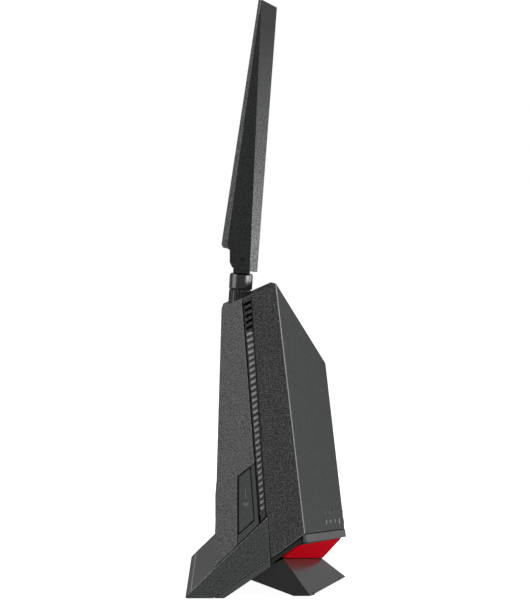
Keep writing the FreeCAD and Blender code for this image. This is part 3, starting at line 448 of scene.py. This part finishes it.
FAINT_PRINT = printed("faint_mark_finish", 0.19)
# light bead colour: a painted highlight on the stand's heel
HEEL_HIGHLIGHT = grained("heel_highlight_finish", srgb(186, 187, 186), 0.15, 0.4, 1900.0, 0.02 * MM)
LABEL = label_film()
GOLD = metal("contact_gold_finish", (0.75, 0.55, 0.22, 1.0), 0.22, (1.0, 3.0, 1.0), 1200.0)
# painted shade: near-black plates laid where screw recesses, dimples and the inside of the body
# would be in shade
RECESS_SHADE = grained("recess_shade_finish", srgb(12, 12, 12), 0.3, 0.7, 1500.0, 0.03 * MM, 0.2)

# nodes whose finish differs from the rest of their material slot
NODE_FINISHES = {
    "stand_frame": "stand_plastic", "stand_cover": "cover_plastic",
    "button_bezel_left": "bezel_plastic", "button_bezel_right": "bezel_plastic",
    "side_button_left": "side_button_plastic", "side_button_right": "side_button_plastic",
    "vent_strip_left": "front_shell_plastic", "vent_strip_right": "front_shell_plastic",
    "aerial_nuts": "aerial_ribs",
}
for subpart in frame["record"]["subparts"]:
    name = subpart["node"]
    finish = FINISHES[NODE_FINISHES.get(name, subpart["material_slot"])]
    for holder in NODES[name].material_slots:
        holder.material = finish.material

# ------------------------------------------------------------------ softened edges on the CAD nodes
GENTLE = math.radians(19)  # edges that turn less than this are shaded smooth and not rounded
WELD = 0.04 * MM


def geometry_group(name):
    """Empty geometry node group, with its input and output nodes."""
    group = bpy.data.node_groups.new(name, "GeometryNodeTree")
    for direction in ("INPUT", "OUTPUT"):
        group.interface.new_socket("Geometry", in_out=direction, socket_type="NodeSocketGeometry")
    return group, group.nodes.new("NodeGroupInput"), group.nodes.new("NodeGroupOutput")


def shading_group():
    """Joins the split corners of an imported mesh, and shades it smooth across gentle edges."""
    group, enter, leave = geometry_group("join_and_shade")
    nodes, links = group.nodes, group.links
    weld = nodes.new("GeometryNodeMergeByDistance")
    weld.inputs["Distance"].default_value = WELD
    forget = nodes.new("GeometryNodeRemoveAttribute")
    forget.inputs["Name"].default_value = "custom_normal"
    faces = nodes.new("GeometryNodeSetShadeSmooth")
    edges = nodes.new("GeometryNodeSetShadeSmooth")
    edges.domain = "EDGE"
    angle = nodes.new("GeometryNodeInputMeshEdgeAngle")
    gentle = nodes.new("FunctionNodeCompare")
    gentle.data_type, gentle.operation = "FLOAT", "LESS_THAN"
    gentle.inputs["B"].default_value = GENTLE
    links.new(angle.outputs["Unsigned Angle"], gentle.inputs["A"])
    links.new(gentle.outputs["Result"], edges.inputs["Shade Smooth"])
    chain = [enter, weld, forget, faces, edges, leave]
    for first, second in zip(chain, chain[1:]):
        links.new(first.outputs[0], second.inputs[0])
    return group


def weight_group(shortest):
    """Marks for bevelling every sharp edge that is longer than the given length."""
    group, enter, leave = geometry_group("mark_long_edges")
    nodes, links = group.nodes, group.links
    store = nodes.new("GeometryNodeStoreNamedAttribute")
    store.domain, store.data_type = "EDGE", "FLOAT"
    store.inputs["Name"].default_value = "bevel_weight_edge"
    angle = nodes.new("GeometryNodeInputMeshEdgeAngle")
    ends = nodes.new("GeometryNodeInputMeshEdgeVertices")
    span = nodes.new("ShaderNodeVectorMath")
    span.operation = "DISTANCE"
    sharp = nodes.new("ShaderNodeMath")
    sharp.operation = "GREATER_THAN"
    sharp.inputs[1].default_value = GENTLE
    long = nodes.new("ShaderNodeMath")
    long.operation = "GREATER_THAN"
    long.inputs[1].default_value = shortest
    both = nodes.new("ShaderNodeMath")
    both.operation = "MULTIPLY"
    links.new(angle.outputs["Unsigned Angle"], sharp.inputs[0])
    links.new(ends.outputs["Position 1"], span.inputs[0])
    links.new(ends.outputs["Position 2"], span.inputs[1])
    links.new(span.outputs["Value"], long.inputs[0])
    links.new(sharp.outputs[0], both.inputs[0])
    links.new(long.outputs[0], both.inputs[1])
    links.new(both.outputs[0], store.inputs["Value"])
    links.new(enter.outputs[0], store.inputs[0])
    links.new(store.outputs[0], leave.inputs[0])
    return group


SHADING = shading_group()
LONG_EDGES = weight_group(2.2 * MM)
SHELL_EDGES = weight_group(6 * MM)  # leaves out the small openings for the light guides
# edge radius in millimetres; nodes that aren't listed only get their shading
EDGE_RADII = {
    "front_housing": 0.5, "front_trim_strip": 0.3, "chin_panel": 0.25, "red_insert": 0.3,
    "front_foot": 0.3, "rear_housing": 0.3, "stand_frame": 0.5, "stand_cover": 0.3,
    "button_bezel_left": 0.25, "button_bezel_right": 0.25,
    "side_button_left": 0.22, "side_button_right": 0.22,
    "front_rubber_pads": 0.3, "rear_rubber_pads": 0.3,
    "main_board": 0.1, "processor_chip": 0.2, "memory_chips": 0.15, "shield_cans": 0.3,
    "front_heat_sink": 0.25, "rear_heat_sink": 0.25, "light_board": 0.1,
    "internal_aerial_strip": 0.1, "wan_port": 0.15, "fast_network_port": 0.15,
    "lan_ports": 0.15, "usb_ports": 0.15, "power_inlet": 0.2,
    "rear_switches": 0.2, "side_switches": 0.2,
}
for side in SIDES:
    EDGE_RADII[f"aerial_radiator_{side}"] = 0.1


def soften(name):
    """Moulded edge radii as modifiers, so that the CAD mesh itself stays as it is."""
    node = NODES[name]
    shade = node.modifiers.new("shade", "NODES")
    shade.node_group = SHADING
    if name not in EDGE_RADII:
        return
    flatten = node.modifiers.new("flatten", "DECIMATE")
    flatten.decimate_type = "DISSOLVE"
    flatten.angle_limit = math.radians(0.4)
    flatten.delimit = {"SHARP"}
    mark = node.modifiers.new("mark", "NODES")
    mark.node_group = SHELL_EDGES if name == "front_housing" else LONG_EDGES
    round_off = node.modifiers.new("round", "BEVEL")
    round_off.limit_method = "WEIGHT"
    round_off.width = EDGE_RADII[name] * MM
    round_off.segments = 2
    round_off.use_clamp_overlap = name not in ("front_housing", "rear_housing")
    even_out = node.modifiers.new("even_out", "WEIGHTED_NORMAL")
    even_out.mode = "FACE_AREA"
    even_out.weight = 100
    even_out.keep_sharp = True


for name in NODES:
    soften(name)


# ------------------------------------------------------------------ mesh helpers
def mesh_piece(name, build, finish, body):
    """A piece from a bmesh that build() fills, riding on a CAD body."""
    shape = bmesh.new()
    build(shape)
    bmesh.ops.recalc_face_normals(shape, faces=shape.faces)
    mesh = bpy.data.meshes.new(name)
    shape.to_mesh(mesh)
    shape.free()
    piece = bpy.data.objects.new(name, mesh)
    bpy.context.scene.collection.objects.link(piece)
    mesh.materials.append(finish.material)
    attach(piece, body)


class Patch:
    """A flat spot on a surface: across and up directions, and the outward normal."""

    def __init__(self, point, normal, across):
        self.point = Vector(point)
        self.normal = Vector(normal).normalized()
        across = Vector(across)
        self.across = (across - self.normal * across.dot(self.normal)).normalized()
        self.up = self.normal.cross(self.across)

    def at(self, u, v, rise):
        return self.point + self.across * u + self.up * v + self.normal * rise


SUNK = 0.02 * MM  # how far plates and arcs reach below their patch, so that no gap shows


def plate(shape, patch, outline, thick):
    """Thin closed plate on the patch with the given (u, v) outline."""
    low = [shape.verts.new(patch.at(u, v, -SUNK)) for u, v in outline]
    high = [shape.verts.new(patch.at(u, v, thick)) for u, v in outline]
    shape.faces.new(list(reversed(low)))
    shape.faces.new(high)
    for i in range(len(outline)):
        j = (i + 1) % len(outline)
        shape.faces.new([low[i], low[j], high[j], high[i]])


def bar(shape, patch, u, v, wide, tall, thick):
    """Thin bar with its middle at (u, v) on the patch."""
    corners = ((-0.5, -0.5), (0.5, -0.5), (0.5, 0.5), (-0.5, 0.5))
    plate(shape, patch, [(u + a * wide, v + b * tall) for a, b in corners], thick)


def arc(shape, patch, u, v, radius, wide, thick, start=0.0, end=2 * math.pi, steps=20):
    """Arc of a flat ring; a full turn closes on itself."""
    closed = end - start > 2 * math.pi - 1e-6
    count = steps if closed else steps + 1
    turns = [start + (end - start) * i / steps for i in range(count)]
    inner, outer = radius - wide / 2, radius + wide / 2
    rings = []
    for reach, rise in ((inner, -SUNK), (outer, -SUNK), (outer, thick), (inner, thick)):
        rings.append([shape.verts.new(patch.at(u + reach * math.cos(t), v + reach * math.sin(t),
                                               rise)) for t in turns])
    for i in range(steps):
        j = (i + 1) % count
        for k in range(4):
            m = (k + 1) % 4
            shape.faces.new([rings[k][i], rings[k][j], rings[m][j], rings[m][i]])
    if not closed:
        shape.faces.new([ring[0] for ring in rings])
        shape.faces.new([ring[-1] for ring in reversed(rings)])


def hit(name, origin, direction):
    """Where a ray meets a CAD node: (point, outward normal)."""
    tree = BVHTree.FromPolygons([v.co for v in NODES[name].data.vertices],
                                [tuple(p.vertices) for p in NODES[name].data.polygons])
    point, normal, _, _ = tree.ray_cast(Vector(origin), Vector(direction))
    if normal.dot(Vector(direction)) > 0:
        normal = -normal
    return point, normal


# ------------------------------------------------------------------ generic marks by the lights
MARK_DROP = 4.9 * MM  # from the middle of a light down to its mark
MARK_THICK = 0.05 * MM
LIGHT_WIDE, LIGHT_TALL = 0.9 * MM, 2.2 * MM
LIGHT_RISE = 0.06  # each light sits higher by this share of its distance from the middle


def mark_bars(shape, spot):
    """Three bars that grow taller to one side."""
    for i in range(3):
        bar(shape, spot, (i - 1) * 0.9 * MM, (i - 1) * 0.35 * MM, 0.5 * MM, (1.2 + 0.7 * i) * MM,
            MARK_THICK)


def mark_power(shape, spot):
    """Open ring with a stroke in its gap."""
    arc(shape, spot, 0, 0, 1.1 * MM, 0.42 * MM, MARK_THICK, math.radians(125), math.radians(415))
    bar(shape, spot, 0, 0.9 * MM, 0.42 * MM, 1.5 * MM, MARK_THICK)


def mark_waves(shape, spot):
    """Three arcs fanned out upwards."""
    for radius in (0.7, 1.5, 2.3):
        arc(shape, spot, 0, -1.2 * MM, radius * MM, 0.4 * MM, MARK_THICK,
            math.radians(45), math.radians(135), 8)


def mark_ring(shape, spot):
    """Ring with a cross in it."""
    arc(shape, spot, 0, 0, 1.35 * MM, 0.35 * MM, MARK_THICK)
    bar(shape, spot, 0, 0, 2.4 * MM, 0.32 * MM, MARK_THICK)
    bar(shape, spot, 0, 0, 0.32 * MM, 2.4 * MM, MARK_THICK)


def mark_socket(shape, spot):
    """Box with a short stroke in it."""
    for u, v, wide, tall in ((0, 1.1, 2.8, 0.4), (0, -1.1, 2.8, 0.4),
                             (-1.2, 0, 0.4, 2.6), (1.2, 0, 0.4, 2.6), (0, -0.3, 0.5, 1.2)):
        bar(shape, spot, u * MM, v * MM, wide * MM, tall * MM, MARK_THICK)


MARKS = [mark_power, mark_waves, mark_waves, mark_ring, mark_socket, mark_socket, mark_socket,
         mark_bars, mark_ring]  # one below each light, from left to right


def front_marks(shape):
    """One mark on the front facets below each light."""
    low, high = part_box("light_guides")
    first_x = low.x + LIGHT_WIDE / 2
    pitch = (high.x - low.x - LIGHT_WIDE) / (len(MARKS) - 1)
    for i, draw in enumerate(MARKS):
        x = first_x + i * pitch
        z = low.z + LIGHT_TALL / 2 + abs(x) * LIGHT_RISE - MARK_DROP
        point, normal = hit("front_housing", (x, CAD_BOX[0].y - 0.1, z), (0, 1, 0))
        draw(shape, Patch(point, normal, (1, 0, 0)))


mesh_piece("front_status_marks", front_marks, PRINTED, "housing")


# ------------------------------------------------------------------ rolled heel of the stand, with a painted highlight along it
HEEL_SLOPE = (0, 0.69, 0.72)  # outward normal of the stand's upper slope
HEEL_BACK, HEEL_TOP = 3.1 * MM, 4.42 * MM  # in from the rear end of the stand, and above the table
BEAD_SHORT = 0.6 * MM  # between the end of the bead and the side of the stand


def heel_line(shape):
    """Low three-sided light bead along the whole heel, set into the slope, as a painted highlight.
    """
    low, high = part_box("stand_frame")
    ends = []
    for x in (low.x + BEAD_SHORT, high.x - BEAD_SHORT):
        spot = Patch((x, high.y - HEEL_BACK, HEEL_TOP), HEEL_SLOPE, (1, 0, 0))
        ends.append([shape.verts.new(spot.at(0, v * MM, rise * MM))
                     for v, rise in ((-0.36, -0.05), (0.0, 0.14), (0.36, -0.05))])
    for k in range(3):
        m = (k + 1) % 3
        shape.faces.new([ends[0][k], ends[0][m], ends[1][m], ends[1][k]])
    shape.faces.new(ends[0])
    shape.faces.new(list(reversed(ends[1])))


mesh_piece("stand_heel_highlight", heel_line, HEEL_HIGHLIGHT, "housing")


# ------------------------------------------------------------------ marks on the side buttons
BUTTON_MARK_THICK = 0.03 * MM


def button_mark(name):
    """Three arcs and a row of four dashes, printed on the outer face of a side button."""
    low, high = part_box(name)
    outward = -1 if high.x < 0 else 1
    face_x = low.x if outward < 0 else high.x
    spot = Patch((face_x, (low.y + high.y) / 2 + 0.3 * MM, (low.z + high.z) / 2 + 1.5 * MM),
                 (outward, 0, 0), (0, 0, -outward))

    def build(shape):
        for radius in (0.7, 1.4, 2.1):
            arc(shape, spot, 4.6 * MM * outward, 0, radius * MM, 0.22 * MM, BUTTON_MARK_THICK,
                math.radians(-50), math.radians(50), 8)
        for i in range(4):
            bar(shape, spot, (0.4 + 1.3 * i) * MM * -outward, 0, 0.8 * MM, 0.3 * MM,
                BUTTON_MARK_THICK)
    return build


for side in ("left", "right"):
    mesh_piece(f"side_button_mark_{side}", button_mark(f"side_button_{side}"), FAINT_PRINT,
               f"side_button_{side}_body")


# ------------------------------------------------------------------ socket contacts
def ribbon(shape, points, wide, thick):
    """A flat wire along (x, y, z) points that keep the same x."""
    rings = []
    for i, point in enumerate(points):
        before, after = points[max(i - 1, 0)], points[min(i + 1, len(points) - 1)]
        along = (Vector(after) - Vector(before)).normalized()
        side = Vector((wide / 2, 0, 0))
        up = along.cross(Vector((1, 0, 0))) * thick / 2
        rings.append([shape.verts.new(Vector(point) + a * side + b * up)
                      for a, b in ((-1, -1), (1, -1), (1, 1), (-1, 1))])
    for first, second in zip(rings, rings[1:]):
        for k in range(4):
            m = (k + 1) % 4
            shape.faces.new([first[k], first[m], second[m], second[k]])
    shape.faces.new(list(reversed(rings[0])))
    shape.faces.new(rings[-1])


NETWORK_WIRES, WIRE_PITCH = 8, 1.02 * MM
SOCKET_RISE = 4.8 * MM  # from the middle of the socket block to the roof of the plug opening
SOCKET_BORDER = 2 * MM  # both side walls of a socket block together, beyond its sockets
NETWORK_SPRING = ((1.6, 0.25), (3.4, 0.5), (5.2, 1.6), (9.6, 4.2), (12.3, 4.9))  # mm in, mm down

USB_WIRES, USB_PITCH = 4, 2.4 * MM
USB_WIDE = 14.6 * MM  # one of the two metal shells
TONGUE_RISE = 1.1 * MM  # from the middle of the shells to the underside of the tongues
USB_SPRING = ((2.2, 0.05), (6.0, 0.16), (11.0, 0.05))  # mm in, mm down


def network_sockets():
    """Middle x of each network socket."""
    middles = []
    for name, count in (("wan_port", 1), ("fast_network_port", 1), ("lan_ports", 4)):
        low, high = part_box(name)
        pitch = (high.x - low.x - SOCKET_BORDER) / count
        middles += [(low.x + high.x) / 2 + (i - (count - 1) / 2) * pitch for i in range(count)]
    return middles


def network_contacts(shape):
    """Eight bent springs below the roof of each network socket."""
    low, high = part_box("lan_ports")
    roof_z = (low.z + high.z) / 2 + SOCKET_RISE
    for middle in network_sockets():
        for i in range(NETWORK_WIRES):
            x = middle + (i - (NETWORK_WIRES - 1) / 2) * WIRE_PITCH
            ribbon(shape, [(x, high.y - inward * MM, roof_z - down * MM)
                           for inward, down in NETWORK_SPRING], 0.42 * MM, 0.2 * MM)


def usb_contacts(shape):
    """Four flat springs under the tongue of each USB socket."""
    low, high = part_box("usb_ports")
    tongue_z = (low.z + high.z) / 2 + TONGUE_RISE
    for middle in (low.x + USB_WIDE / 2, high.x - USB_WIDE / 2):
        for i in range(USB_WIRES):
            x = middle + (i - (USB_WIRES - 1) / 2) * USB_PITCH
            ribbon(shape, [(x, high.y - inward * MM, tongue_z - down * MM)
                           for inward, down in USB_SPRING], 1.1 * MM, 0.12 * MM)


mesh_piece("network_contacts", network_contacts, GOLD, "housing")
mesh_piece("usb_contacts", usb_contacts, GOLD, "housing")


# ------------------------------------------------------------------ small details of the housing
HEAD_RADIUS = 2.6 * MM  # of the housing and foot screws
RECESS_REACH, RECESS_WIDE = 1.5 * MM, 0.7 * MM


def cross_recess(shape, patch):
    """Driver recess: a cross-shaped plate of painted shade in place of a hole, its arms slightly
    narrowed at the ends.
    """
    arms = []
    for k in range(4):
        turn = k * math.pi / 2
        for u, v in ((RECESS_WIDE / 2, RECESS_WIDE / 2), (RECESS_REACH, RECESS_WIDE * 0.4),
                     (RECESS_REACH, -RECESS_WIDE * 0.4)):
            arms.append((u * math.sin(turn) + v * math.cos(turn),
                         u * math.cos(turn) - v * math.sin(turn)))
    arms.sort(key=lambda corner: math.atan2(corner[1], corner[0]))
    plate(shape, patch, arms, 0.04 * MM)


def housing_recesses(shape):
    low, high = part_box("housing_screws")
    for x in (low.x + HEAD_RADIUS, high.x - HEAD_RADIUS):
        for z in (low.z + HEAD_RADIUS, high.z - HEAD_RADIUS):
            cross_recess(shape, Patch((x, high.y, z), (0, 1, 0), (1, 0, 0)))


def foot_recesses(shape):
    low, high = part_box("foot_screws")
    for x in (low.x + HEAD_RADIUS, high.x - HEAD_RADIUS):
        cross_recess(shape, Patch((x, low.y + HEAD_RADIUS, low.z), (0, 0, -1), (1, 0, 0)))


mesh_piece("housing_screw_recesses", housing_recesses, RECESS_SHADE, "housing")
mesh_piece("foot_screw_recesses", foot_recesses, RECESS_SHADE, "housing")


BAFFLE_GAP = 0.6 * MM  # behind the dust mesh
BAFFLE_THICK = 0.5 * MM
BAFFLE_SHORT_LOW, BAFFLE_SHORT_HIGH = 1 * MM, 7 * MM  # ends inside those of the vent strip
BAFFLE_MARGIN = 0.8 * MM  # beyond the front and rear edges of the vent strip
STRIP_END = 6 * MM  # part of the vent strip its width is read from, at each end


def vent_baffles(shape):
    """Thin sheet of painted shade behind each dust mesh, which stops the view through the body."""
    mesh_points = [v.co for v in NODES["vent_meshes"].data.vertices]
    for side, outward in (("left", -1), ("right", 1)):
        inner = min(p.x * outward for p in mesh_points if p.x * outward > 0) - BAFFLE_GAP
        points = [v.co for v in NODES[f"vent_strip_{side}"].data.vertices]
        corners = []
        for end, inset in ((min(p.z for p in points), BAFFLE_SHORT_LOW),
                           (max(p.z for p in points), -BAFFLE_SHORT_HIGH)):
            near_end = [p.y for p in points if abs(p.z - end) < STRIP_END]
            corners.append((min(near_end) - BAFFLE_MARGIN, end + inset))
            corners.append((max(near_end) + BAFFLE_MARGIN, end + inset))
        low_front, low_rear, high_front, high_rear = corners
        spot = Patch((inner * outward, 0, 0), (-outward, 0, 0), (0, 1, 0))
        plate(shape, spot, [(y, z * spot.up.z) for y, z in
                            (low_front, low_rear, high_rear, high_front)], BAFFLE_THICK)


mesh_piece("vent_baffles", vent_baffles, RECESS_SHADE, "housing")


def rounded(wide, tall, radius, steps=6):
    """Outline of a rectangle with round corners."""
    outline = []
    for k, (a, b) in enumerate(((1, 1), (-1, 1), (-1, -1), (1, -1))):
        for i in range(steps + 1):
            turn = math.pi / 2 * (k + i / steps)
            outline.append((a * (wide / 2 - radius) + radius * math.cos(turn),
                            b * (tall / 2 - radius) + radius * math.sin(turn)))
    return outline


LABEL_X, LABEL_Z = -70 * MM, 30 * MM
LABEL_WIDE, LABEL_TALL, LABEL_CORNER, LABEL_THICK = 62 * MM, 15 * MM, 1.5 * MM, 0.12 * MM


def rear_label(shape):
    """Blank label low on the rear housing."""
    point, normal = hit("rear_housing", (LABEL_X, 0.2, LABEL_Z), (0, -1, 0))
    plate(shape, Patch(point, normal, (-1, 0, 0)), rounded(LABEL_WIDE, LABEL_TALL, LABEL_CORNER),
          LABEL_THICK)


mesh_piece("rear_blank_label", rear_label, LABEL, "housing")


DIMPLE_RADIUS, DIMPLE_THICK = 0.6 * MM, 0.03 * MM
DIMPLE_RING_RADIUS, DIMPLE_RING_WIDE, DIMPLE_RING_THICK = 1.0 * MM, 0.3 * MM, 0.05 * MM


def hinge_dimples(side):
    """Shallow ring and dimple on both flanks of a blade, at its hinge pin, as thin dark plates of
    painted shade.
    """
    low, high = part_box(f"aerial_pin_{side}")
    middle = (low + high) / 2
    turns = [math.pi * i / 6 for i in range(12)]

    def build(shape):
        for outward in (-1, 1):
            beside = (middle.x + outward * 0.05, middle.y, middle.z)
            point, normal = hit(f"aerial_blade_{side}", beside, (-outward, 0, 0))
            spot = Patch(point, normal, (0, 1, 0))
            arc(shape, spot, 0, 0, DIMPLE_RING_RADIUS, DIMPLE_RING_WIDE, DIMPLE_RING_THICK,
                steps=28)
            plate(shape, spot, [(DIMPLE_RADIUS * math.cos(t), DIMPLE_RADIUS * math.sin(t))
                                for t in turns], DIMPLE_THICK)
    return build


for side in SIDES:
    mesh_piece(f"aerial_hinge_dimple_{side}", hinge_dimples(side), RECESS_SHADE, f"aerial_arm_{side}")


# ------------------------------------------------------------------ studio
WHITE = (1.0, 1.0, 1.0, 1.0)
SURROUND_STRENGTH = 0.26


def studio_world():
    """White backdrop for the camera, and a soft dim surround for everything else."""
    world = bpy.data.worlds.new("studio")
    bpy.context.scene.world = world
    world.use_nodes = True
    tree = world.node_tree
    surround = tree.nodes["Background"]
    surround.inputs["Color"].default_value = WHITE
    surround.inputs["Strength"].default_value = SURROUND_STRENGTH
    backdrop = tree.nodes.new("ShaderNodeBackground")
    backdrop.inputs["Color"].default_value = WHITE
    backdrop.inputs["Strength"].default_value = 1.0
    path = tree.nodes.new("ShaderNodeLightPath")
    mix = tree.nodes.new("ShaderNodeMixShader")
    tree.links.new(path.outputs["Is Camera Ray"], mix.inputs[0])
    tree.links.new(surround.outputs[0], mix.inputs[1])
    tree.links.new(backdrop.outputs[0], mix.inputs[2])
    tree.links.new(mix.outputs[0], tree.nodes["World Output"].inputs["Surface"])


SOFTBOXES = {  # place, aim, width, height (all in metres), watts
    "front_softbox": ((-0.35, -1.5, 0.55), (0, 0, 0.15), 1.4, 1.4, 16.0),
    "rear_softbox": ((-0.6, 1.5, 0.6), (0, 0, 0.15), 1.2, 1.4, 9.0),
    "low_front_softbox": ((-0.7, -1.2, 0.2), (0, 0, 0.03), 0.8, 0.35, 3.0),
    "top_softbox": ((-0.2, 0.0, 1.8), (0, 0, 0.1), 1.6, 1.6, 10.0),
    "camera_side_softbox": ((-1.35, -0.45, 1.0), (-0.12, 0, 0.12), 0.7, 0.7, 6.5),
    "edge_softbox": ((0.5, -1.5, 0.35), (-0.12, 0, 0.1), 0.4, 0.9, 4.0),
}


def softbox(name, place, target, wide, tall, power):
    """Rectangular area light at a place, turned towards its target."""
    light = bpy.data.lights.new(name, "AREA")
    light.shape = "RECTANGLE"
    light.size, light.size_y = wide, tall
    light.energy = power
    lamp = bpy.data.objects.new(name, light)
    bpy.context.scene.collection.objects.link(lamp)
    lamp.location = place
    lamp.rotation_euler = (Vector(target) - Vector(place)).to_track_quat("-Z", "Y").to_euler()


FLOOR_REACH = 30.0
FLOOR_GLOW = 0.97
FLOOR_SEEN, FLOOR_THROWN = 0.8, 0.45  # greys of the floor to the camera, and to the object
FLOOR_DROP = 0.2 * MM  # below the rubber pads, so that no two faces share a plane


def floor():
    """Pale floor, white to the camera and dimmer in what it throws back at the object."""
    material = bpy.data.materials.new("floor_finish")
    material.use_nodes = True
    tree = material.node_tree
    glow = tree.nodes.new("ShaderNodeEmission")
    glow.inputs["Strength"].default_value = FLOOR_GLOW
    matte = tree.nodes.new("ShaderNodeBsdfDiffuse")
    matte.inputs["Color"].default_value = grey(FLOOR_SEEN)
    both = tree.nodes.new("ShaderNodeAddShader")
    dim = tree.nodes.new("ShaderNodeBsdfDiffuse")
    dim.inputs["Color"].default_value = grey(FLOOR_THROWN)
    path = tree.nodes.new("ShaderNodeLightPath")
    mix = tree.nodes.new("ShaderNodeMixShader")
    tree.links.new(matte.outputs[0], both.inputs[0])
    tree.links.new(glow.outputs[0], both.inputs[1])
    tree.links.new(path.outputs["Is Camera Ray"], mix.inputs[0])
    tree.links.new(dim.outputs[0], mix.inputs[1])
    tree.links.new(both.outputs[0], mix.inputs[2])
    tree.links.new(mix.outputs[0], tree.nodes["Material Output"].inputs["Surface"])
    shape = bmesh.new()
    bmesh.ops.create_grid(shape, x_segments=2, y_segments=2, size=FLOOR_REACH)
    mesh = bpy.data.meshes.new("floor")
    shape.to_mesh(mesh)
    shape.free()
    plane = bpy.data.objects.new("floor", mesh)
    plane.location = (0, 0, -FLOOR_DROP)
    bpy.context.scene.collection.objects.link(plane)
    mesh.materials.append(material)


studio_world()
floor()
for name, settings in SOFTBOXES.items():
    softbox(name, *settings)

# ------------------------------------------------------------------ camera
CAMERA_SPOT = Vector((-1.824, 0.01905, 0.1762))
CAMERA_AIM = Vector((1.0, -0.0099, -0.0087))
LENS_MM, SENSOR_MM = 189.8, 36.0
lens = bpy.data.cameras.new("camera")
lens.lens = LENS_MM
lens.sensor_width = SENSOR_MM
lens.clip_start, lens.clip_end = 0.05, 100.0
camera = bpy.data.objects.new("camera", lens)
bpy.context.scene.collection.objects.link(camera)
camera.location = CAMERA_SPOT
camera.rotation_euler = CAMERA_AIM.to_track_quat("-Z", "Y").to_euler()
bpy.context.scene.camera = camera
bpy.context.scene.view_settings.view_transform = "Standard"
